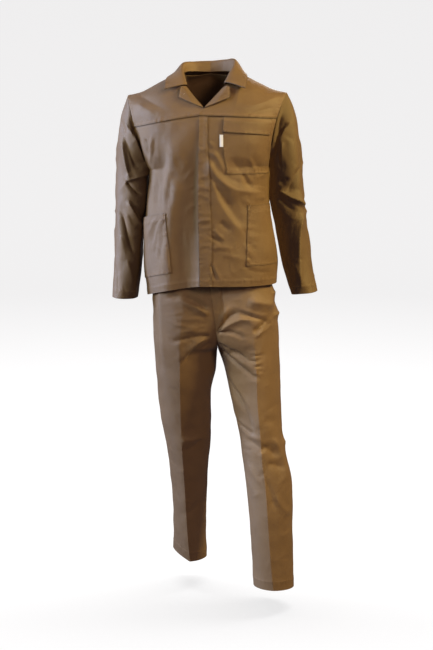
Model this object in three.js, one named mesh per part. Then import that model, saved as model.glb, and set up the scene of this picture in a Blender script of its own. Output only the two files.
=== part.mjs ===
// Two-piece work suit: a hip-length jacket with an open collar and pressed trousers, hollow, in the pose
// in which they are worn. Millimetres. +X is the wearer's left, +Y the wearer's back, +Z up.
// The tables give heights above the ground that the wearer stands on. The finished group is lowered, so
// that the origin lies between the shoulders at neck height, where the wearer carries the suit.
import * as THREE from "three";

// Driving sizes
const originHeight = 1620; // neck seam above the ground
const cloth = 1.6; // wall of one layer of heavy twill
const gap = 0.3; // between neighbouring pieces
const chestTurn = -6; // degrees that the jacket is turned on the hips, to the wearer's right
const hemHeight = 1006; // jacket hem at the front edge
const yokeHeight = 1497; // front yoke seam at the front edge
const armpitHeight = 1352;
const neckHeight = 1623; // shoulder end of the neckline
const frontEdge = -8; // where the fronts meet, under the placket
// Placket edges as shares of the front's width: it widens towards the hem.
const placket = { inner: [-0.006, -0.022], outer: [0.143, 0.1, 0.077], levels: [1060, 1270, 1490] };
const hipPockets = {
  left: { from: 0.5, to: 0.955, bottom: 1066, top: 1241 },
  right: { from: 0.36, to: 0.955, bottom: 1056, top: 1232 },
};
const chestPocket = { from: 0.255, to: 0.93, bottom: 1331, mouth: 1460 };
const flapDrop = 8; // the flap hangs this far below the pocket's mouth
const waistSeam = 1036;
const waistTop = 1074;
const crotchHeight = 800;

const table = (names, rows) =>
  rows.map((row) => Object.fromEntries(names.split(" ").map((name, i) => [name, row[i]])));

// How far forward the body of the jacket stands at its centre front, by height. roll is the distance
// from the middle at which the opening is folded back.
const centreFront = table("height depth roll", [
  [1000, -150, 0],
  [1060, -148, 0],
  [1130, -145, 0],
  [1200, -143, 0],
  [1280, -142, 0],
  [1352, -137, 0],
  [1405, -131, 0],
  [1455, -123, 0],
  [1497, -114, 0],
  [1520, -107, 1],
  [1545, -96, 23],
  [1584, -68, 58],
  [1608, -36, 70],
  [1623, 2, 76],
]);
const centreBack = table("height depth", [
  [1000, 153],
  [1060, 144],
  [1130, 127],
  [1200, 114],
  [1280, 110],
  [1352, 114],
  [1420, 117],
  [1490, 114],
  [1545, 104],
  [1590, 88],
  [1622, 66],
  [1650, 5],
]);
// Side seams: distance from the middle, and how much lower than the centre front a level runs there.
const sides = {
  left: table("height out drop", [
    [1000, 206, 4],
    [1060, 209, 2],
    [1107, 206, 0],
    [1171, 194, 0],
    [1237, 184, 0],
    [1290, 183, 0],
    [1352, 186, 0],
  ]),
  right: table("height out drop", [
    [1000, 184, 46],
    [1060, 192, 45],
    [1107, 195, 44],
    [1171, 194, 42],
    [1237, 191, 38],
    [1290, 184, 28],
    [1352, 177, 14],
  ]),
};
const sideDepth = 4; // the side seams lie this far behind the middle
const backDrop = 18; // the back hem hangs this much lower than the front edge

// Armholes: the shoulder point and the armpit, joined by a rounded loop.
const armholes = {
  left: { tip: [234, 1564], pit: [186, 1352], half: 62, scoop: 11 },
  right: { tip: [240, 1559], pit: [177, 1338], half: 62, scoop: 2 },
};
// Where each level of the body meets the armholes: degrees round the loop from the shoulder point, and
// the direction in which the cloth runs out there, from straight out (0) to straight back (90).
const armholeNames = "height left right out";
const armholeFront = table(armholeNames, [
  [1352, 180, 180, 90],
  [1405, 125, 126, 72],
  [1455, 97, 101, 60],
  [1497, 72, 81, 50],
  [1545, 48, 54, 40],
  [1584, 27, 30, 26],
  [1608, 12, 13, 12],
  [1623, 0, 0, 0],
]);
const armholeBack = table(armholeNames, [
  [1352, 180, 180, 90],
  [1420, 120, 122, 72],
  [1490, 80, 82, 54],
  [1545, 53, 54, 40],
  [1590, 30, 30, 26],
  [1622, 13, 13, 12],
  [1650, 0, 0, 0],
]);

// Sleeves: the line down the outside and the line down the inside, ring by ring, with the half-depth of
// each ring and how far behind the shoulder its middle lies.
const sleeveRings = {
  left: table("at outX outZ inX inZ half back", [
    [0, 234, 1564, 187, 1350, 62, 4],
    [0.07, 252, 1521, 191, 1338, 70, 6],
    [0.14, 263, 1480, 192, 1322, 75, 8],
    [0.22, 270, 1430, 190, 1299, 77, 10],
    [0.31, 275, 1375, 187, 1270, 76, 12],
    [0.39, 280, 1325, 187, 1240, 73, 13],
    [0.48, 287, 1270, 191, 1206, 70, 13],
    [0.56, 292, 1220, 199, 1173, 67, 11],
    [0.64, 298, 1168, 206, 1134, 65, 7],
    [0.73, 305, 1115, 214, 1095, 62, 1],
    [0.82, 313, 1068, 224, 1057, 59, -6],
    [0.91, 322, 1024, 238, 1017, 57, -14],
    [1, 331, 982, 253, 976, 54, -22],
  ]),
  right: table("at outX outZ inX inZ half back", [
    [0, 240, 1559, 179, 1335, 61, 4],
    [0.07, 258, 1512, 185, 1323, 70, 6],
    [0.14, 267, 1470, 187, 1307, 75, 8],
    [0.22, 273, 1422, 187, 1284, 77, 10],
    [0.31, 278, 1368, 188, 1258, 76, 12],
    [0.39, 281, 1318, 191, 1230, 73, 13],
    [0.48, 283, 1264, 196, 1197, 70, 13],
    [0.56, 284, 1210, 198, 1163, 67, 11],
    [0.64, 285, 1155, 198, 1124, 65, 7],
    [0.73, 286, 1100, 199, 1084, 62, 1],
    [0.82, 287, 1050, 202, 1043, 59, -6],
    [0.91, 289, 1004, 208, 1000, 57, -14],
    [1, 291, 957, 215, 954, 54, -22],
  ]),
};
const sleeveClear = { body: 1.7, pocket: 4, curve: 280 }; // room left between the sleeves and the sides

// Collar, from the centre back (0) to its front end (1): the neck seam, the fold and the outer edge.
const collarSections = table("at seamX seamY seamZ foldX foldY foldZ edgeX edgeY edgeZ", [
  [0, 0, 64, 1628, 0, 81, 1659, 0, 104, 1601],
  [0.25, 42, 53, 1629, 48, 68, 1659, 68, 90, 1600],
  [0.48, 68, 24, 1627, 78, 29, 1657, 105, 45, 1606],
  [0.66, 73, -6, 1618, 80, -9, 1637, 114, 2, 1615],
  [0.84, 67, -38, 1601, 71, -47, 1612, 120, -45, 1601],
  [1, 60, -62, 1582, 62, -74, 1588, 118, -90, 1573],
]);

const collarLean = 0.055; // the collar dips to the wearer's right

// Lapels: corners across and up, on the front.
const lapelCorners = { fold: [2, 1519], tip: [76, 1547], outer: [72, 1578], inner: [57, 1581] };

// Trouser legs by height: outer and inner side, front and back crease, the depth of the side seam, how
// sharply the crease is pressed, and how far the sides rise above the crease's level.
const legNames = "height outer inner crease front back mid press outerRise innerRise";
const legs = {
  left: table(legNames, [
    [80, 263, 139, 197, -172, -16, -92, 0.44, -14, -10],
    [160, 261, 134, 189, -172, -10, -90, 0.43, -6, -4],
    [255, 258, 127, 182, -171, -4, -86, 0.42, 0, 0],
    [340, 258, 120, 176, -167, 3, -80, 0.42, 0, 0],
    [405, 255, 114, 171, -160, 12, -72, 0.4, 0, 0],
    [470, 240, 105, 162, -152, 22, -64, 0.4, 0, 0],
    [560, 226, 91, 155, -145, 42, -50, 0.38, 0, 0],
    [650, 222, 69, 147, -138, 66, -34, 0.36, 0, 0],
    [740, 219, 50, 144, -132, 92, -18, 0.33, 0, 0],
    [800, 216, 30, 140, -128, 110, -8, 0.27, 0, 0],
    [840, 214, 26, 136, -126, 120, -3, 0.2, 0, 0],
    [900, 210, 20, 128, -124, 128, 0, 0.12, 0, 0],
    [960, 202, 11, 118, -121, 124, 2, 0.06, 0, 0],
    [1010, 190, 5, 108, -117, 114, 2, 0.02, 0, 0],
    [1074, 172, 2, 98, -108, 96, 2, 0, 0, 0],
  ]),
  right: table(legNames, [
    [98, -115, -8, -60, 24, 182, 102, 0.44, 22, -8],
    [165, -114, -8, -65, 15, 176, 95, 0.43, 9, -4],
    [250, -114, -8, -70, 5, 168, 86, 0.42, 0, 0],
    [340, -118, -4, -74, -10, 158, 72, 0.42, 0, 0],
    [420, -125, -1, -78, -28, 148, 57, 0.4, 0, 0],
    [480, -133, 6, -81, -42, 142, 46, 0.4, 0, 0],
    [575, -148, 8, -84, -62, 132, 30, 0.38, 0, 0],
    [660, -156, 9, -85, -84, 124, 16, 0.36, 0, 0],
    [730, -160, 22, -85, -104, 118, 5, 0.33, 0, 0],
    [800, -165, 28, -84, -118, 121, 0, 0.27, 0, 0],
    [840, -167, 26, -82, -121, 125, 0, 0.2, 0, 0],
    [900, -169, 20, -78, -123, 128, 0, 0.12, 0, 0],
    [960, -171, 11, -74, -121, 124, 2, 0.06, 0, 0],
    [1010, -167, 5, -70, -117, 112, 2, 0.02, 0, 0],
    [1074, -156, 2, -64, -108, 92, 2, 0, 0, 0],
  ]),
};
// The seam between the legs and up the middle: how far to the wearer's left, forward and back it runs.
const crotchSeam = table("height across front back", [
  [700, 30, 0, 0],
  [796, 29, -6, 8],
  [812, 28, -52, 52],
  [832, 27, -86, 84],
  [862, 24, -106, 106],
  [910, 18, -116, 120],
  [1000, 6, -113, 110],
  [1074, 2, -104, 90],
]);
const sidePocket = { foot: 905, mouthTop: 0.8 }; // slanted mouth: its lower end, and its place at the waist
const fly = { outer: 0.13, foot: 868 };

// Folds: straight runs in the front, back or side view. width is the half-width at which a fold has nearly
// died away, depth is positive for a ridge and negative for a trough.
const foldNames = "view x1 z1 x2 z2 width depth";
const jacketFolds = table(foldNames, [
  ["front", -112, 1440, -124, 1235, 30, 8],
  ["front", -76, 1400, -86, 1170, 34, -7],
  ["front", 20, 1385, 140, 1272, 32, 7],
  ["front", 24, 1335, 100, 1190, 30, 7],
  ["front", 26, 1240, 84, 1110, 32, 6],
  ["front", -36, 1260, -54, 1060, 34, -5],
  ["back", 118, 1420, 60, 1230, 34, 7],
  ["back", -116, 1430, -66, 1250, 34, 7],
  ["back", 0, 1420, 10, 1100, 40, -6],
  ["back", 150, 1240, 96, 1080, 30, -6],
  ["back", -140, 1220, -90, 1060, 30, -6],
]);
const sleeveFolds = {
  left: table(foldNames, [
    ["front", 208, 1440, 236, 1300, 26, -8],
    ["front", 200, 1262, 258, 1292, 24, -9],
    ["front", 205, 1226, 268, 1240, 24, 7],
    ["front", 278, 1400, 250, 1300, 26, 6],
    ["front", 236, 1200, 292, 1150, 26, -6],
    ["back", 210, 1430, 250, 1330, 26, -8],
    ["back", 205, 1250, 275, 1290, 26, -8],
    ["back", 215, 1205, 285, 1235, 26, 7],
  ]),
  right: table(foldNames, [
    ["front", -236, 1470, -202, 1330, 26, -9],
    ["front", -240, 1300, -200, 1262, 24, -9],
    ["front", -256, 1410, -232, 1290, 26, 6],
    ["front", -250, 1262, -208, 1220, 24, 7],
    ["front", -258, 1225, -232, 1110, 26, -5],
    ["back", -205, 1430, -250, 1330, 26, -8],
    ["back", -205, 1250, -275, 1290, 26, -8],
    ["back", -210, 1205, -275, 1235, 26, 7],
  ]),
};
const trouserFolds = table(foldNames, [
  ["front", 10, 826, -76, 764, 30, 6],
  ["front", 44, 812, 134, 706, 26, -7],
  ["front", 70, 836, 160, 768, 30, 6],
  ["front", 46, 848, 98, 882, 28, 5],
  ["front", 54, 880, 84, 990, 32, -5],
  ["front", 150, 1000, 200, 940, 34, 7],
  ["front", -60, 970, -16, 900, 30, -4],
  ["front", 214, 520, 246, 430, 34, 5],
  ["back", 36, 820, 124, 738, 32, -6],
  ["back", 14, 820, -76, 738, 32, -6],
  ["back", 74, 870, 34, 960, 34, 5],
  ["back", -44, 870, -4, 960, 34, 5],
  ["back", 176, 470, 250, 430, 34, -5],
  ["back", -20, 500, -110, 460, 34, -5],
]);
const viewDirections = {
  front: new THREE.Vector3(0, -1, 0),
  back: new THREE.Vector3(0, 1, 0),
};

// Curves and shaping

// A smooth curve through one column of a table against another, level beyond its ends.
function through(rows, by, key) {
  const x = rows.map((row) => row[by]);
  const y = rows.map((row) => row[key]);
  const last = x.length - 1;
  const slope = x.map((_, i) => {
    const a = Math.max(0, i - 1);
    const b = Math.min(last, i + 1);
    return (y[b] - y[a]) / (x[b] - x[a]);
  });
  return (at) => {
    const q = Math.min(Math.max(at, x[0]), x[last]);
    let i = 0;
    while (i < last - 1 && q > x[i + 1]) i++;
    const w = x[i + 1] - x[i];
    const u = (q - x[i]) / w;
    const v = 1 - u;
    return (
      v * v * (1 + 2 * u) * y[i] +
      u * u * (3 - 2 * u) * y[i + 1] +
      w * u * v * (v * slope[i] - u * slope[i + 1])
    );
  };
}

// Every column of a table as a curve against its first one.
function curves(rows) {
  const names = Object.keys(rows[0]);
  return Object.fromEntries(names.map((name) => [name, through(rows, names[0], name)]));
}

const vec = (x, y, z) => new THREE.Vector3(x, y, z);
const between = THREE.MathUtils.lerp;
const ease = THREE.MathUtils.smoothstep;
const radians = THREE.MathUtils.degToRad;

function bezier(a, b, c, d, s) {
  const r = 1 - s;
  return a
    .clone()
    .multiplyScalar(r * r * r)
    .addScaledVector(b, 3 * r * r * s)
    .addScaledVector(c, 3 * r * s * s)
    .addScaledVector(d, s * s * s);
}

// The outward normal of a surface at a point. facing turns it to the outside.
function normalOf(surface, facing, s, h) {
  const ds = 0.002;
  const dh = surface.step;
  const [s0, s1] = [Math.max(surface.low[0], s - ds), Math.min(surface.high[0], s + ds)];
  const [h0, h1] = [Math.max(surface.low[1], h - dh), Math.min(surface.high[1], h + dh)];
  const along = surface.at(s1, h).sub(surface.at(s0, h));
  const up = surface.at(s, h1).sub(surface.at(s, h0));
  return along.cross(up).normalize().multiplyScalar(facing);
}

// How far the folds move a point that faces along normal.
function foldAt(folds, point, normal) {
  let sum = 0;
  for (const f of folds) {
    const seen = ease(normal.dot(viewDirections[f.view]), 0.05, 0.45);
    if (seen === 0) continue;
    const [runX, runZ] = [f.x2 - f.x1, f.z2 - f.z1];
    const length = Math.hypot(runX, runZ);
    const along = ((point.x - f.x1) * runX + (point.z - f.z1) * runZ) / length;
    const aside = ((point.x - f.x1) * runZ - (point.z - f.z1) * runX) / length;
    const ends = ease(along, -f.width, length * 0.3) * ease(length - along, -f.width, length * 0.3);
    sum += f.depth * seen * ends * Math.exp(-((aside / (0.6 * f.width)) ** 2));
  }
  return sum;
}

// A surface with folds in it. Its points run from low to high in both directions.
function folded(at, facing, folds, low, high, step = 1) {
  const plain = { at, low, high, step };
  const moved = (s, h) => {
    const point = at(s, h);
    const normal = normalOf(plain, facing, s, h);
    return point.addScaledVector(normal, foldAt(folds, point, normal));
  };
  return { at: moved, facing, low, high, step };
}

// Grid lines through the given stops, no further apart than step.
function lines(stops, step) {
  const all = [stops[0]];
  for (let i = 1; i < stops.length; i++) {
    const n = Math.max(1, Math.round((stops[i] - stops[i - 1]) / step));
    for (let k = 1; k <= n; k++) all.push(between(stops[i - 1], stops[i], k / n));
  }
  return all;
}

const within = (all, low, high) => all.filter((q) => q > low - 1e-6 && q < high + 1e-6);

// Walls

// The closed mesh between an outer and an inner grid of points. A loop joins each row's end to its start.
function shell(outer, inner, facing, loop) {
  const rows = outer.length;
  const columns = outer[0].length;
  const positions = [...outer, ...inner].flat().flatMap((p) => [p.x, p.y, p.z]);
  const index = [];
  const id = (face, i, j) => (face * rows + i) * columns + (j % columns);
  const quad = (a, b, c, d) => index.push(...(facing > 0 ? [a, b, c, a, c, d] : [a, c, b, a, d, c]));
  const across = loop ? columns : columns - 1;
  for (let i = 0; i < rows - 1; i++)
    for (let j = 0; j < across; j++) {
      quad(id(0, i, j), id(0, i, j + 1), id(0, i + 1, j + 1), id(0, i + 1, j));
      quad(id(1, i, j), id(1, i + 1, j), id(1, i + 1, j + 1), id(1, i, j + 1));
    }
  const top = rows - 1;
  for (let j = 0; j < across; j++) {
    quad(id(0, 0, j), id(1, 0, j), id(1, 0, j + 1), id(0, 0, j + 1));
    quad(id(0, top, j), id(0, top, j + 1), id(1, top, j + 1), id(1, top, j));
  }
  if (!loop) {
    const end = columns - 1;
    for (let i = 0; i < top; i++) {
      quad(id(0, i, 0), id(0, i + 1, 0), id(1, i + 1, 0), id(1, i, 0));
      quad(id(0, i, end), id(1, i, end), id(1, i + 1, end), id(0, i + 1, end));
    }
  }
  const geometry = new THREE.BufferGeometry();
  geometry.setAttribute("position", new THREE.Float32BufferAttribute(positions, 3));
  geometry.setIndex(index);
  geometry.computeVertexNormals();
  return geometry;
}

// Moves the edge points of a grid inwards along it, so that neighbouring pieces stay apart.
function pullIn(grid, loop, pull) {
  const move = (point, next, by) => {
    const way = next.clone().sub(point);
    return point.clone().addScaledVector(way, by / way.length());
  };
  const last = grid.length - 1;
  const moved = grid.map((row) => [...row]);
  moved[0] = grid[0].map((p, j) => move(p, grid[1][j], pull.bottom));
  moved[last] = grid[last].map((p, j) => move(p, grid[last - 1][j], pull.top));
  if (!loop)
    for (const row of moved) {
      const end = row.length - 1;
      const [first, final] = [move(row[0], row[1], pull.start), move(row[end], row[end - 1], pull.end)];
      row[0] = first;
      row[end] = final;
    }
  return moved;
}

// A wall on a surface: its outer face stands lift outside it.
function wall(surface, columns, rows, options = {}) {
  const { lift = 0, thick = cloth, loop = false, pull = {} } = options;
  const edges = { bottom: gap / 2, top: gap / 2, start: gap / 2, end: gap / 2, ...pull };
  const place = (out) =>
    rows.map((h) =>
      columns.map((s) => {
        const normal = normalOf(surface, surface.facing, s, h);
        const more = typeof lift === "function" ? lift(s, h) : lift;
        return surface.at(s, h).addScaledVector(normal, more + out);
      }),
    );
  const outer = pullIn(place(0), loop, edges);
  const inner = pullIn(place(-thick), loop, edges);
  return shell(outer, inner, surface.facing, loop);
}

// Jacket body

// A point of an armhole, round degrees from the shoulder point, forward or back.
function armholePoint(sideName, face, round) {
  const { tip, pit, half, scoop } = armholes[sideName];
  const side = sideName === "left" ? 1 : -1;
  const a = radians(round);
  const x = between(pit[0], tip[0], 0.5 + 0.5 * Math.cos(a)) - scoop * Math.sin(a) ** 2;
  const z = between(pit[1], tip[1], 0.5 + 0.5 * Math.cos(a));
  return vec(side * x, sideDepth + face * half * Math.sin(a), z);
}

const frontCurves = curves(centreFront);
const backCurves = curves(centreBack);
const frontArm = curves(armholeFront);
const backArm = curves(armholeBack);

// A point on the jacket's form: s from the centre to the side seam or armhole, at a level named by its
// height at the centre. face is -1 for the front and 1 for the back.
function bodyPoint(sideName, face, s, height) {
  const side = sideName === "left" ? 1 : -1;
  const seam = sideCurves[sideName];
  const centre = face < 0 ? frontCurves : backCurves;
  const arm = face < 0 ? frontArm : backArm;
  const start = vec(0, centre.depth(height), height);
  if (face < 0) start.x = side * frontCurves.roll(height);
  else start.z -= backDrop * ease(armpitHeight - height, 0, armpitHeight - hemHeight);
  if (face < 0 && height < yokeHeight + 24) start.x = between(frontEdge, start.x, ease(height, 1500, 1521));
  const low = height <= armpitHeight;
  const end = low
    ? vec(side * seam.out(height), sideDepth, height - seam.drop(height))
    : armholePoint(sideName, face, arm[sideName](height));
  const turn = radians(low ? 90 : arm.out(height));
  const chord = start.distanceTo(end);
  const fullness = 0.42;
  const first = start.clone().add(vec(side * chord * fullness, 0, 0));
  first.z = between(start.z, end.z, 0.25);
  const second = vec(
    end.x - side * Math.cos(turn) * chord * fullness,
    end.y + face * Math.sin(turn) * chord * fullness,
    between(start.z, end.z, 0.8),
  );
  return bezier(start, first, second, end, s);
}
const sideCurves = { left: curves(sides.left), right: curves(sides.right) };

// The front's lines from yoke to hem run a little towards the centre in their lower part.
const frontSkew = { share: 0.28, from: 1250, to: 1060 };
const skewed = (s, h) => s - frontSkew.share * s * (1 - s) * ease(frontSkew.from - h, 0, frontSkew.from - frontSkew.to);

// The front's surface, and the back's: the back runs from the right side (-1) to the left (1), and its
// upper edge dips round the neck.
function frontSurface(sideName) {
  const at = (s, h) => bodyPoint(sideName, -1, skewed(s, h), h);
  return folded(at, sideName === "left" ? 1 : -1, jacketFolds, [-0.1, hemHeight], [1, neckHeight]);
}
const backNeck = { width: 0.3, dip: 26 }; // share of the half-back under the collar, and its depth
function backSurface() {
  const top = 1650;
  const at = (s, v) => {
    const inside = Math.min(1, Math.abs(s) / backNeck.width);
    const highest = top - backNeck.dip * Math.sqrt(1 - inside * inside);
    const height = between(hemHeight, highest, v);
    return bodyPoint(s >= 0 ? "left" : "right", 1, Math.abs(s), height);
  };
  return folded(at, -1, jacketFolds, [-1, 0], [1, 1], 0.002);
}

// Sleeves: s runs once round from the outside line by the front, v runs from the armhole to the cuff.
function sleeveSurface(sideName) {
  const side = sideName === "left" ? 1 : -1;
  const ring = curves(sleeveRings[sideName]);
  const { scoop, pit } = armholes[sideName];
  const seam = sideCurves[sideName];
  const pocket = hipPockets[sideName];
  // The nearest that a point of the sleeve comes to the middle, beside the body.
  const nearest = (y, z) => {
    const height = z + seam.drop(z + 30);
    const onPocket = ease(height, pocket.bottom - 20, pocket.bottom) * ease(pocket.top + 20 - height, 0, 20);
    const room = sleeveClear.body + sleeveClear.pocket * onPocket;
    return seam.out(height) - (y - sideDepth) ** 2 / sleeveClear.curve + room - 60 * ease(z, pit[1] - 8, pit[1] + 30);
  };
  const at = (s, v) => {
    const a = 2 * Math.PI * s;
    const share = 0.5 + 0.5 * Math.cos(a);
    const cut = scoop * Math.sin(a) ** 2 * (1 - ease(v, 0, 0.3));
    const out = between(ring.inX(v), ring.outX(v), share) - cut;
    const y = ring.back(v) - ring.half(v) * Math.sin(a);
    const z = between(ring.inZ(v), ring.outZ(v), share);
    const over = nearest(y, z) - out;
    const soft = 2.5 * ease(v, 0, 0.06);
    const pushed = out + 0.5 * over + Math.hypot(0.5 * over, soft);
    return vec(side * between(out, pushed, ease(v, 0, 0.06)), y, z);
  };
  return folded(at, sideName === "left" ? -1 : 1, sleeveFolds[sideName], [-1, 0], [2, 1], 0.004);
}

// Collar: s from the right front end (-1) round the back to the left (1), v from the neck seam over the
// fold to the outer edge.
const collarCurves = curves(collarSections);
function collarSurface() {
  const at = (s, v) => {
    const u = Math.abs(s);
    const side = Math.sign(s) || 1;
    const corner = (name) =>
      vec(
        side * collarCurves[name + "X"](u),
        collarCurves[name + "Y"](u),
        collarCurves[name + "Z"](u),
      );
    const [seam, fold, edge] = ["seam", "fold", "edge"].map(corner);
    fold.z += collarLean * fold.x;
    edge.z += 0.2 * collarLean * edge.x;
    const crown = fold.clone().multiplyScalar(8).sub(seam).sub(edge).divideScalar(6);
    const spread = edge.clone().sub(seam).multiplyScalar(0.12);
    return bezier(seam, crown.clone().sub(spread), crown.clone().add(spread), edge, v);
  };
  return { at, facing: -1, low: [-1, 0], high: [1, 1], step: 0.004 };
}

// The place on the front at a given distance from the middle and height.
function onFront(surface, side, x, z) {
  let [s, h] = [0.5, z];
  for (let turn = 0; turn < 30; turn++) {
    const point = surface.at(s, h);
    s = Math.min(1, Math.max(0, s + (side * x - point.x) / (side * 230)));
    h = Math.min(neckHeight, h + 0.8 * (z - point.z));
  }
  return surface.at(s, h);
}

// The strip down the left front's edge: s runs from its free edge (0) to its stitched edge (1).
function placketSurface(surface) {
  const { inner, outer, levels } = placket;
  const [low, middle, high] = levels;
  const edge = (h) => between(inner[0], inner[1], ease(h, hemHeight, middle));
  const seam = (h) =>
    between(outer[0], outer[1], ease(h, low, middle)) - (outer[1] - outer[2]) * ease(h, middle, high);
  return { ...surface, low: [0, hemHeight], high: [1, yokeHeight], at: (s, h) => surface.at(between(edge(h), seam(h), s), h) };
}

function lapelSurface(sideName) {
  const side = sideName === "left" ? 1 : -1;
  const front = frontSurface(sideName);
  const { fold, tip, outer, inner } = lapelCorners;
  const at = (s, v) => {
    const low = [between(fold[0], tip[0], s), between(fold[1], tip[1], s)];
    const high = [between(inner[0], outer[0], s), between(inner[1], outer[1], s)];
    const bow = 5 * Math.sin(Math.PI * s) * (1 - v);
    const [x, z] = [between(low[0], high[0], v), between(low[1], high[1], v) - bow];
    const point = onFront(front, side, x, z);
    const rise = 2.5 + 3.5 * ease(s, 0, 0.5) + 2.5 * s * v;
    return point.add(vec(0, -rise, rise * 0.4));
  };
  return { at, facing: side, low: [0, 0], high: [1, 1], step: 0.01 };
}

// Trousers: s from the inner seam (0) over the crease (0.5) to the outer seam (1).
const seamCurves = curves(crotchSeam);
function legSurface(sideName, face) {
  const side = sideName === "left" ? 1 : -1;
  const leg = curves(legs[sideName]);
  const hem = legs[sideName][0].height;
  const at = (s, h) => {
    const outside = s >= 0.5;
    const away = Math.abs(2 * s - 1);
    const turn = 0.5 * Math.PI * away;
    const press = leg.press(h);
    const flat = outside ? 0 : ease(h, 785, 880);
    const out = between(Math.sin(turn), away, flat);
    const round = (1 - press) * Math.cos(turn) + press * (1 - Math.sin(turn));
    const depth = between(round, 1 - away * away, flat);
    const seam = face < 0 ? seamCurves.front(h) : seamCurves.back(h);
    const joined = outside ? 0 : ease(h, 790, 806);
    const inner = between(leg.inner(h), seamCurves.across(h) + 1.3 * side * gap, joined);
    const start = between(leg.mid(h), seam, joined);
    const crease = face < 0 ? leg.front(h) : leg.back(h);
    const rise = outside ? leg.outerRise(h) : leg.innerRise(h);
    return vec(
      between(leg.crease(h), outside ? leg.outer(h) : inner, out),
      between(start, crease, depth),
      h + rise * out,
    );
  };
  return folded(at, -side * face, trouserFolds, [0, hem], [1, waistTop]);
}

// The mouth of the side pocket: the front stops here, short of the outer seam.
const mouth = (h) => between(1, sidePocket.mouthTop, ease(h, sidePocket.foot, waistSeam + 40) ** 0.8);

// A surface whose rows end early, at a share that depends on the height.
function trimmed(surface, end) {
  return { ...surface, at: (s, h) => surface.at(s * end(h), h) };
}

// The ring of the waist, from the front edge round the wearer's right to the front edge again.
function waistSurface() {
  const quarters = [
    [legSurface("right", -1), 1],
    [legSurface("right", 1), -1],
    [legSurface("left", 1), 1],
    [legSurface("left", -1), -1],
  ];
  const at = (s, h) => {
    const q = Math.min(3, Math.floor(s * 4));
    const share = s * 4 - q;
    const [surface, way] = quarters[q];
    return surface.at(way > 0 ? share : 1 - share, h);
  };
  return { at, facing: -1, low: [0, waistSeam], high: [1, waistTop], step: 1 };
}

// Pieces

const dyed = (color, roughness = 0.85) => new THREE.MeshStandardMaterial({ color, roughness, metalness: 0 });
const materials = {
  twill: dyed(0x7d5f45),
  twillShade: dyed(0x6f543d),
  label: dyed(0xeeeae2),
  button: dyed(0x4a3426, 0.4),
};

function piece(group, name, geometry, material = materials.twill) {
  const mesh = new THREE.Mesh(geometry, material);
  mesh.name = name;
  group.add(mesh);
}

const frontStops = {
  left: [0, 0.05, 0.1, chestPocket.from, hipPockets.left.from, chestPocket.to, hipPockets.left.to, 1],
  right: [0, 0.18, hipPockets.right.from, hipPockets.right.to, 1],
};
const flapBottom = chestPocket.mouth - flapDrop;
const chestStops = {
  left: [chestPocket.bottom, armpitHeight, flapBottom, chestPocket.mouth],
  right: [armpitHeight],
};
const frontRows = (name) =>
  lines([hemHeight, hipPockets[name].bottom, hipPockets[name].top, ...chestStops[name], yokeHeight], 30);
const yokeRows = lines([yokeHeight, 1521, neckHeight], 21);

function jacket() {
  const group = new THREE.Group();
  group.rotation.z = radians(chestTurn);
  const layer = cloth + gap;
  for (const name of ["left", "right"]) {
    const front = frontSurface(name);
    const columns = lines(frontStops[name], 0.11);
    const rows = frontRows(name);
    const armEdge = { end: 0.6 };
    piece(group, `jacket_front_${name}`, wall(front, columns, rows, { pull: armEdge }));
    piece(group, `jacket_yoke_${name}`, wall(front, columns, yokeRows, { pull: armEdge }));
    const { from, to, bottom, top } = hipPockets[name];
    const gape = (s, h) =>
      layer + 5 * ease(h, between(bottom, top, 0.5), top) * Math.sin((Math.PI * (s - from)) / (to - from));
    const pocket = wall(front, within(columns, from, to), within(rows, bottom, top), { lift: gape });
    piece(group, `hip_pocket_${name}`, pocket, materials.twillShade);
    piece(group, `lapel_${name}`, wall(lapelSurface(name), lines([0, 1], 0.25), lines([0, 1], 0.25)));
    const ring = lines([0, 1], 1 / 20).slice(0, -1);
    const sleeve = wall(sleeveSurface(name), ring, lines([0, 0.14, 1], 0.05), { loop: true, pull: { bottom: 1.2 } });
    piece(group, `sleeve_${name}`, sleeve);
  }
  const backPull = { start: 0.6, end: 0.6 };
  piece(group, "jacket_back", wall(backSurface(), lines([-1, 0, 1], 0.125), lines([0, 0.53, 1], 0.06), { pull: backPull }));
  piece(group, "collar", wall(collarSurface(), lines([-1, 0, 1], 0.084), lines([0, 1], 0.15), { thick: 2 }));

  const left = frontSurface("left");
  const columns = lines(frontStops.left, 0.11);
  const rows = frontRows("left");
  const strip = wall(placketSurface(left), lines([0, 1], 0.25), rows, { lift: layer + 0.5 });
  piece(group, "front_placket", strip, materials.twillShade);
  const { from, to, bottom, mouth } = chestPocket;
  const pocketColumns = within(columns, from, to);
  const pocket = wall(left, pocketColumns, within(rows, bottom, mouth), { lift: layer });
  piece(group, "chest_pocket", pocket, materials.twillShade);
  const flap = wall(left, pocketColumns, within(rows, flapBottom, yokeHeight), { lift: 2 * layer });
  piece(group, "chest_pocket_flap", flap, materials.twillShade);
  const label = { from: from - 0.045, to: from - 0.002, low: 1410, high: 1445, thick: 0.8, lift: 1.7 };
  const tag = wall(left, [label.from, label.to], [label.low, label.high], label);
  piece(group, "pocket_label", tag, materials.label);
  return group;
}

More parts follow.
